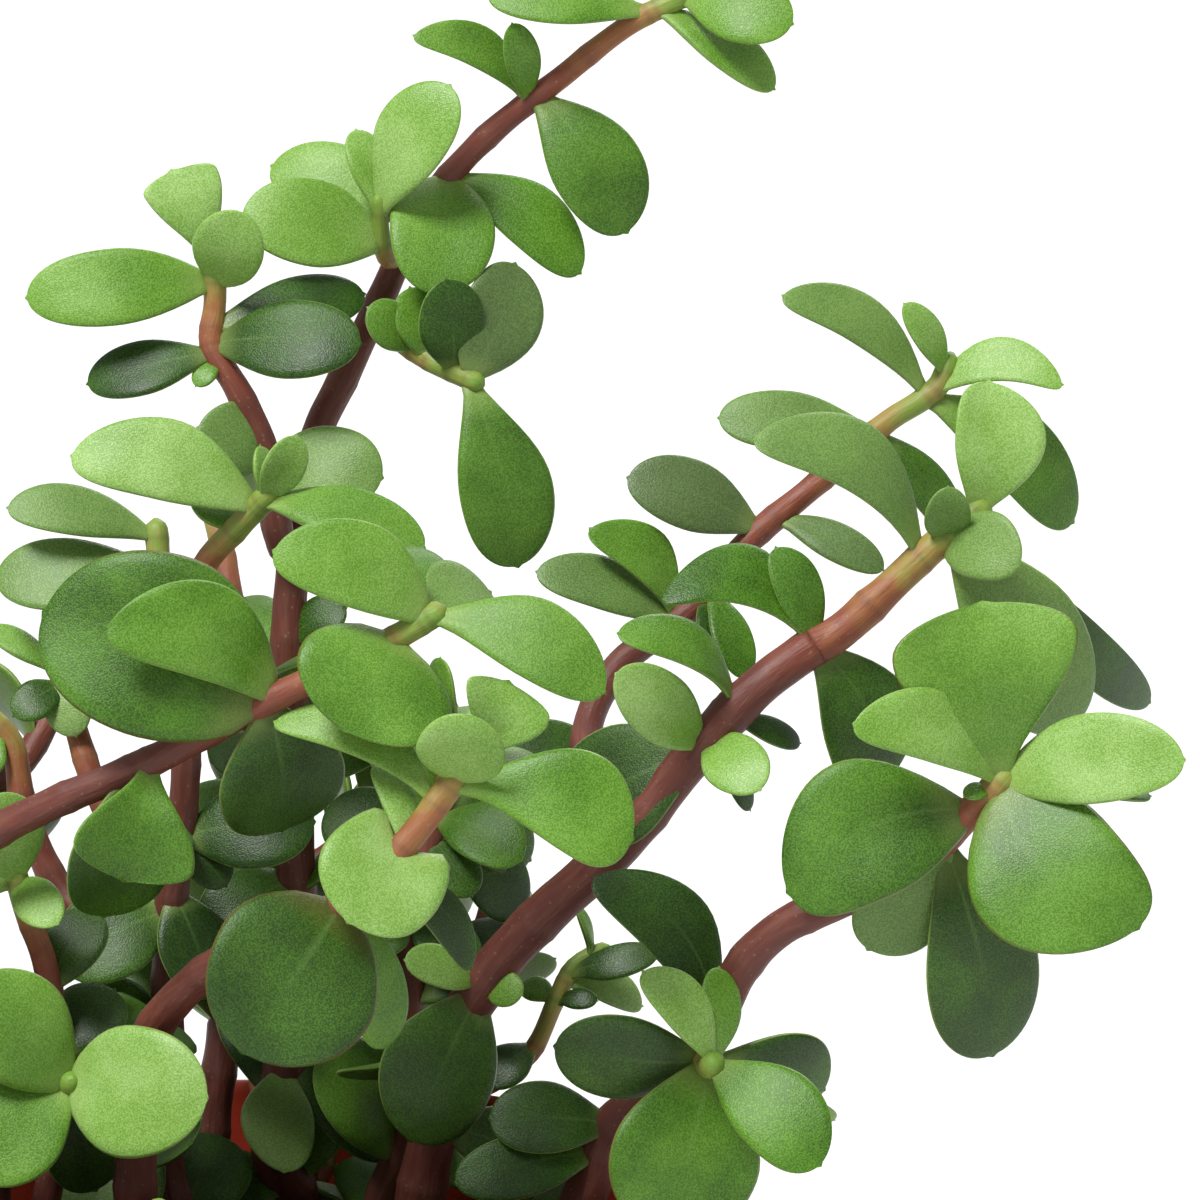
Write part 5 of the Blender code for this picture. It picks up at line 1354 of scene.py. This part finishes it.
def scattered(count, sizes, feet, rng):
    """Grains lying half sunk on the soil, none of them inside a stem."""
    grains = []
    while len(grains) < count:
        radius = (SOIL_RADIUS - sizes[1]) * math.sqrt(rng.random())
        angle = rng.uniform(0, 2 * math.pi)
        x, y = radius * math.cos(angle), radius * math.sin(angle)
        size = sizes[0] + (sizes[1] - sizes[0]) * rng.random() ** 2.5
        if any(math.hypot(x - foot.x, y - foot.y) < size + FOOT_MARGIN for foot in feet):
            continue
        points, faces = lump(size, rng)
        spot = Vector((x, y, soil_height(x, y) + 0.3 * size))
        grains.append(([point + spot for point in points], faces))
    return merged(grains)


def build_soil_look(stems):
    """The soil's body with crumbs and grains of perlite on it."""
    earth = soil_paint()
    build_soil_body(earth)
    feet = [branches[0].line[0] for branches, _ in stems.values()]
    rng = random.Random(61)
    points, faces = scattered(CRUMBS, (0.5 * MM, 2.2 * MM), feet, rng)
    new_piece("soil_crumbs", points, faces, earth)
    points, faces = scattered(PERLITE, (0.6 * MM, 1.5 * MM), feet, rng)
    new_piece("perlite", points, faces, perlite_paint())


FLOOR_RADIUS = 4.0


def build_floor():
    """A plain pale floor under the pot."""
    bpy.ops.mesh.primitive_circle_add(vertices=96, radius=FLOOR_RADIUS, fill_type="NGON")
    floor = bpy.context.object
    floor.name = "floor"
    floor.data.materials.append(floor_paint())
    floor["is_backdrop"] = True


# Light and camera

FILL_STRENGTH = 0.5
BACKDROP_STRENGTH = 1.1
SENSOR = 36  # mm


def build_world():
    """An even white surround, dimmer as a light than it is to the eye, so that shadows stay deep."""
    world = bpy.data.worlds.new("studio")
    world.use_nodes = True
    nodes, links = world.node_tree.nodes, world.node_tree.links
    backdrop = nodes["Background"]
    backdrop.inputs["Color"].default_value = (1, 1, 1, 1)
    seen_directly = nodes.new("ShaderNodeLightPath").outputs["Is Camera Ray"]
    strength = nodes.new("ShaderNodeMapRange")
    strength.inputs["To Min"].default_value = FILL_STRENGTH
    strength.inputs["To Max"].default_value = BACKDROP_STRENGTH
    links.new(seen_directly, strength.inputs["Value"])
    links.new(strength.outputs["Result"], backdrop.inputs["Strength"])
    bpy.context.scene.world = world
    view = bpy.context.scene.view_settings
    view.view_transform = "Standard"
    view.look = "None"
    view.exposure = 0
    view.gamma = 1


def build_sun(name, bearing, height, strength, softness):
    """A soft distant lamp at a compass bearing and a height in degrees."""
    lamp = bpy.data.lights.new(name, "SUN")
    lamp.energy = strength
    lamp.angle = math.radians(softness)
    holder = bpy.data.objects.new(name, lamp)
    rise = math.radians(height)
    towards = -(compass(bearing) * math.cos(rise) + Vector((0, 0, math.sin(rise))))
    holder.rotation_euler = towards.to_track_quat("-Z", "Y").to_euler()
    bpy.context.scene.collection.objects.link(holder)


def build_camera():
    """The photograph's view: from a little above, with a long lens."""
    lens = bpy.data.cameras.new("camera")
    lens.sensor_width = SENSOR
    lens.lens = SENSOR * VIEW_DISTANCE / PICTURE
    lens.clip_start = 0.05
    lens.clip_end = 20
    camera = bpy.data.objects.new("camera", lens)
    camera.location = EYE
    camera.rotation_euler = VIEW_LINE.to_track_quat("-Z", "Y").to_euler()
    bpy.context.scene.collection.objects.link(camera)
    bpy.context.scene.camera = camera


def main():
    stems = leafy_stems()
    leaf_finish, bark_finish = leaf_paint(), bark_paint()
    for name, leaves in arranged(stems).items():
        build_bark(name, stems[name][0], leaves, bark_finish)
        build_leaves(name, leaves, leaf_finish)
    build_pot_shell()
    build_soil_look(stems)
    build_floor()
    build_world()
    build_sun("key", 218, 56, 4.1, 20)
    build_sun("rim", 20, 40, 1.2, 30)
    build_camera()


main()
boxes = {"cad": cad_box, "visual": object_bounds()}
{name: [list(corner) for corner in box] for name, box in boxes.items()}
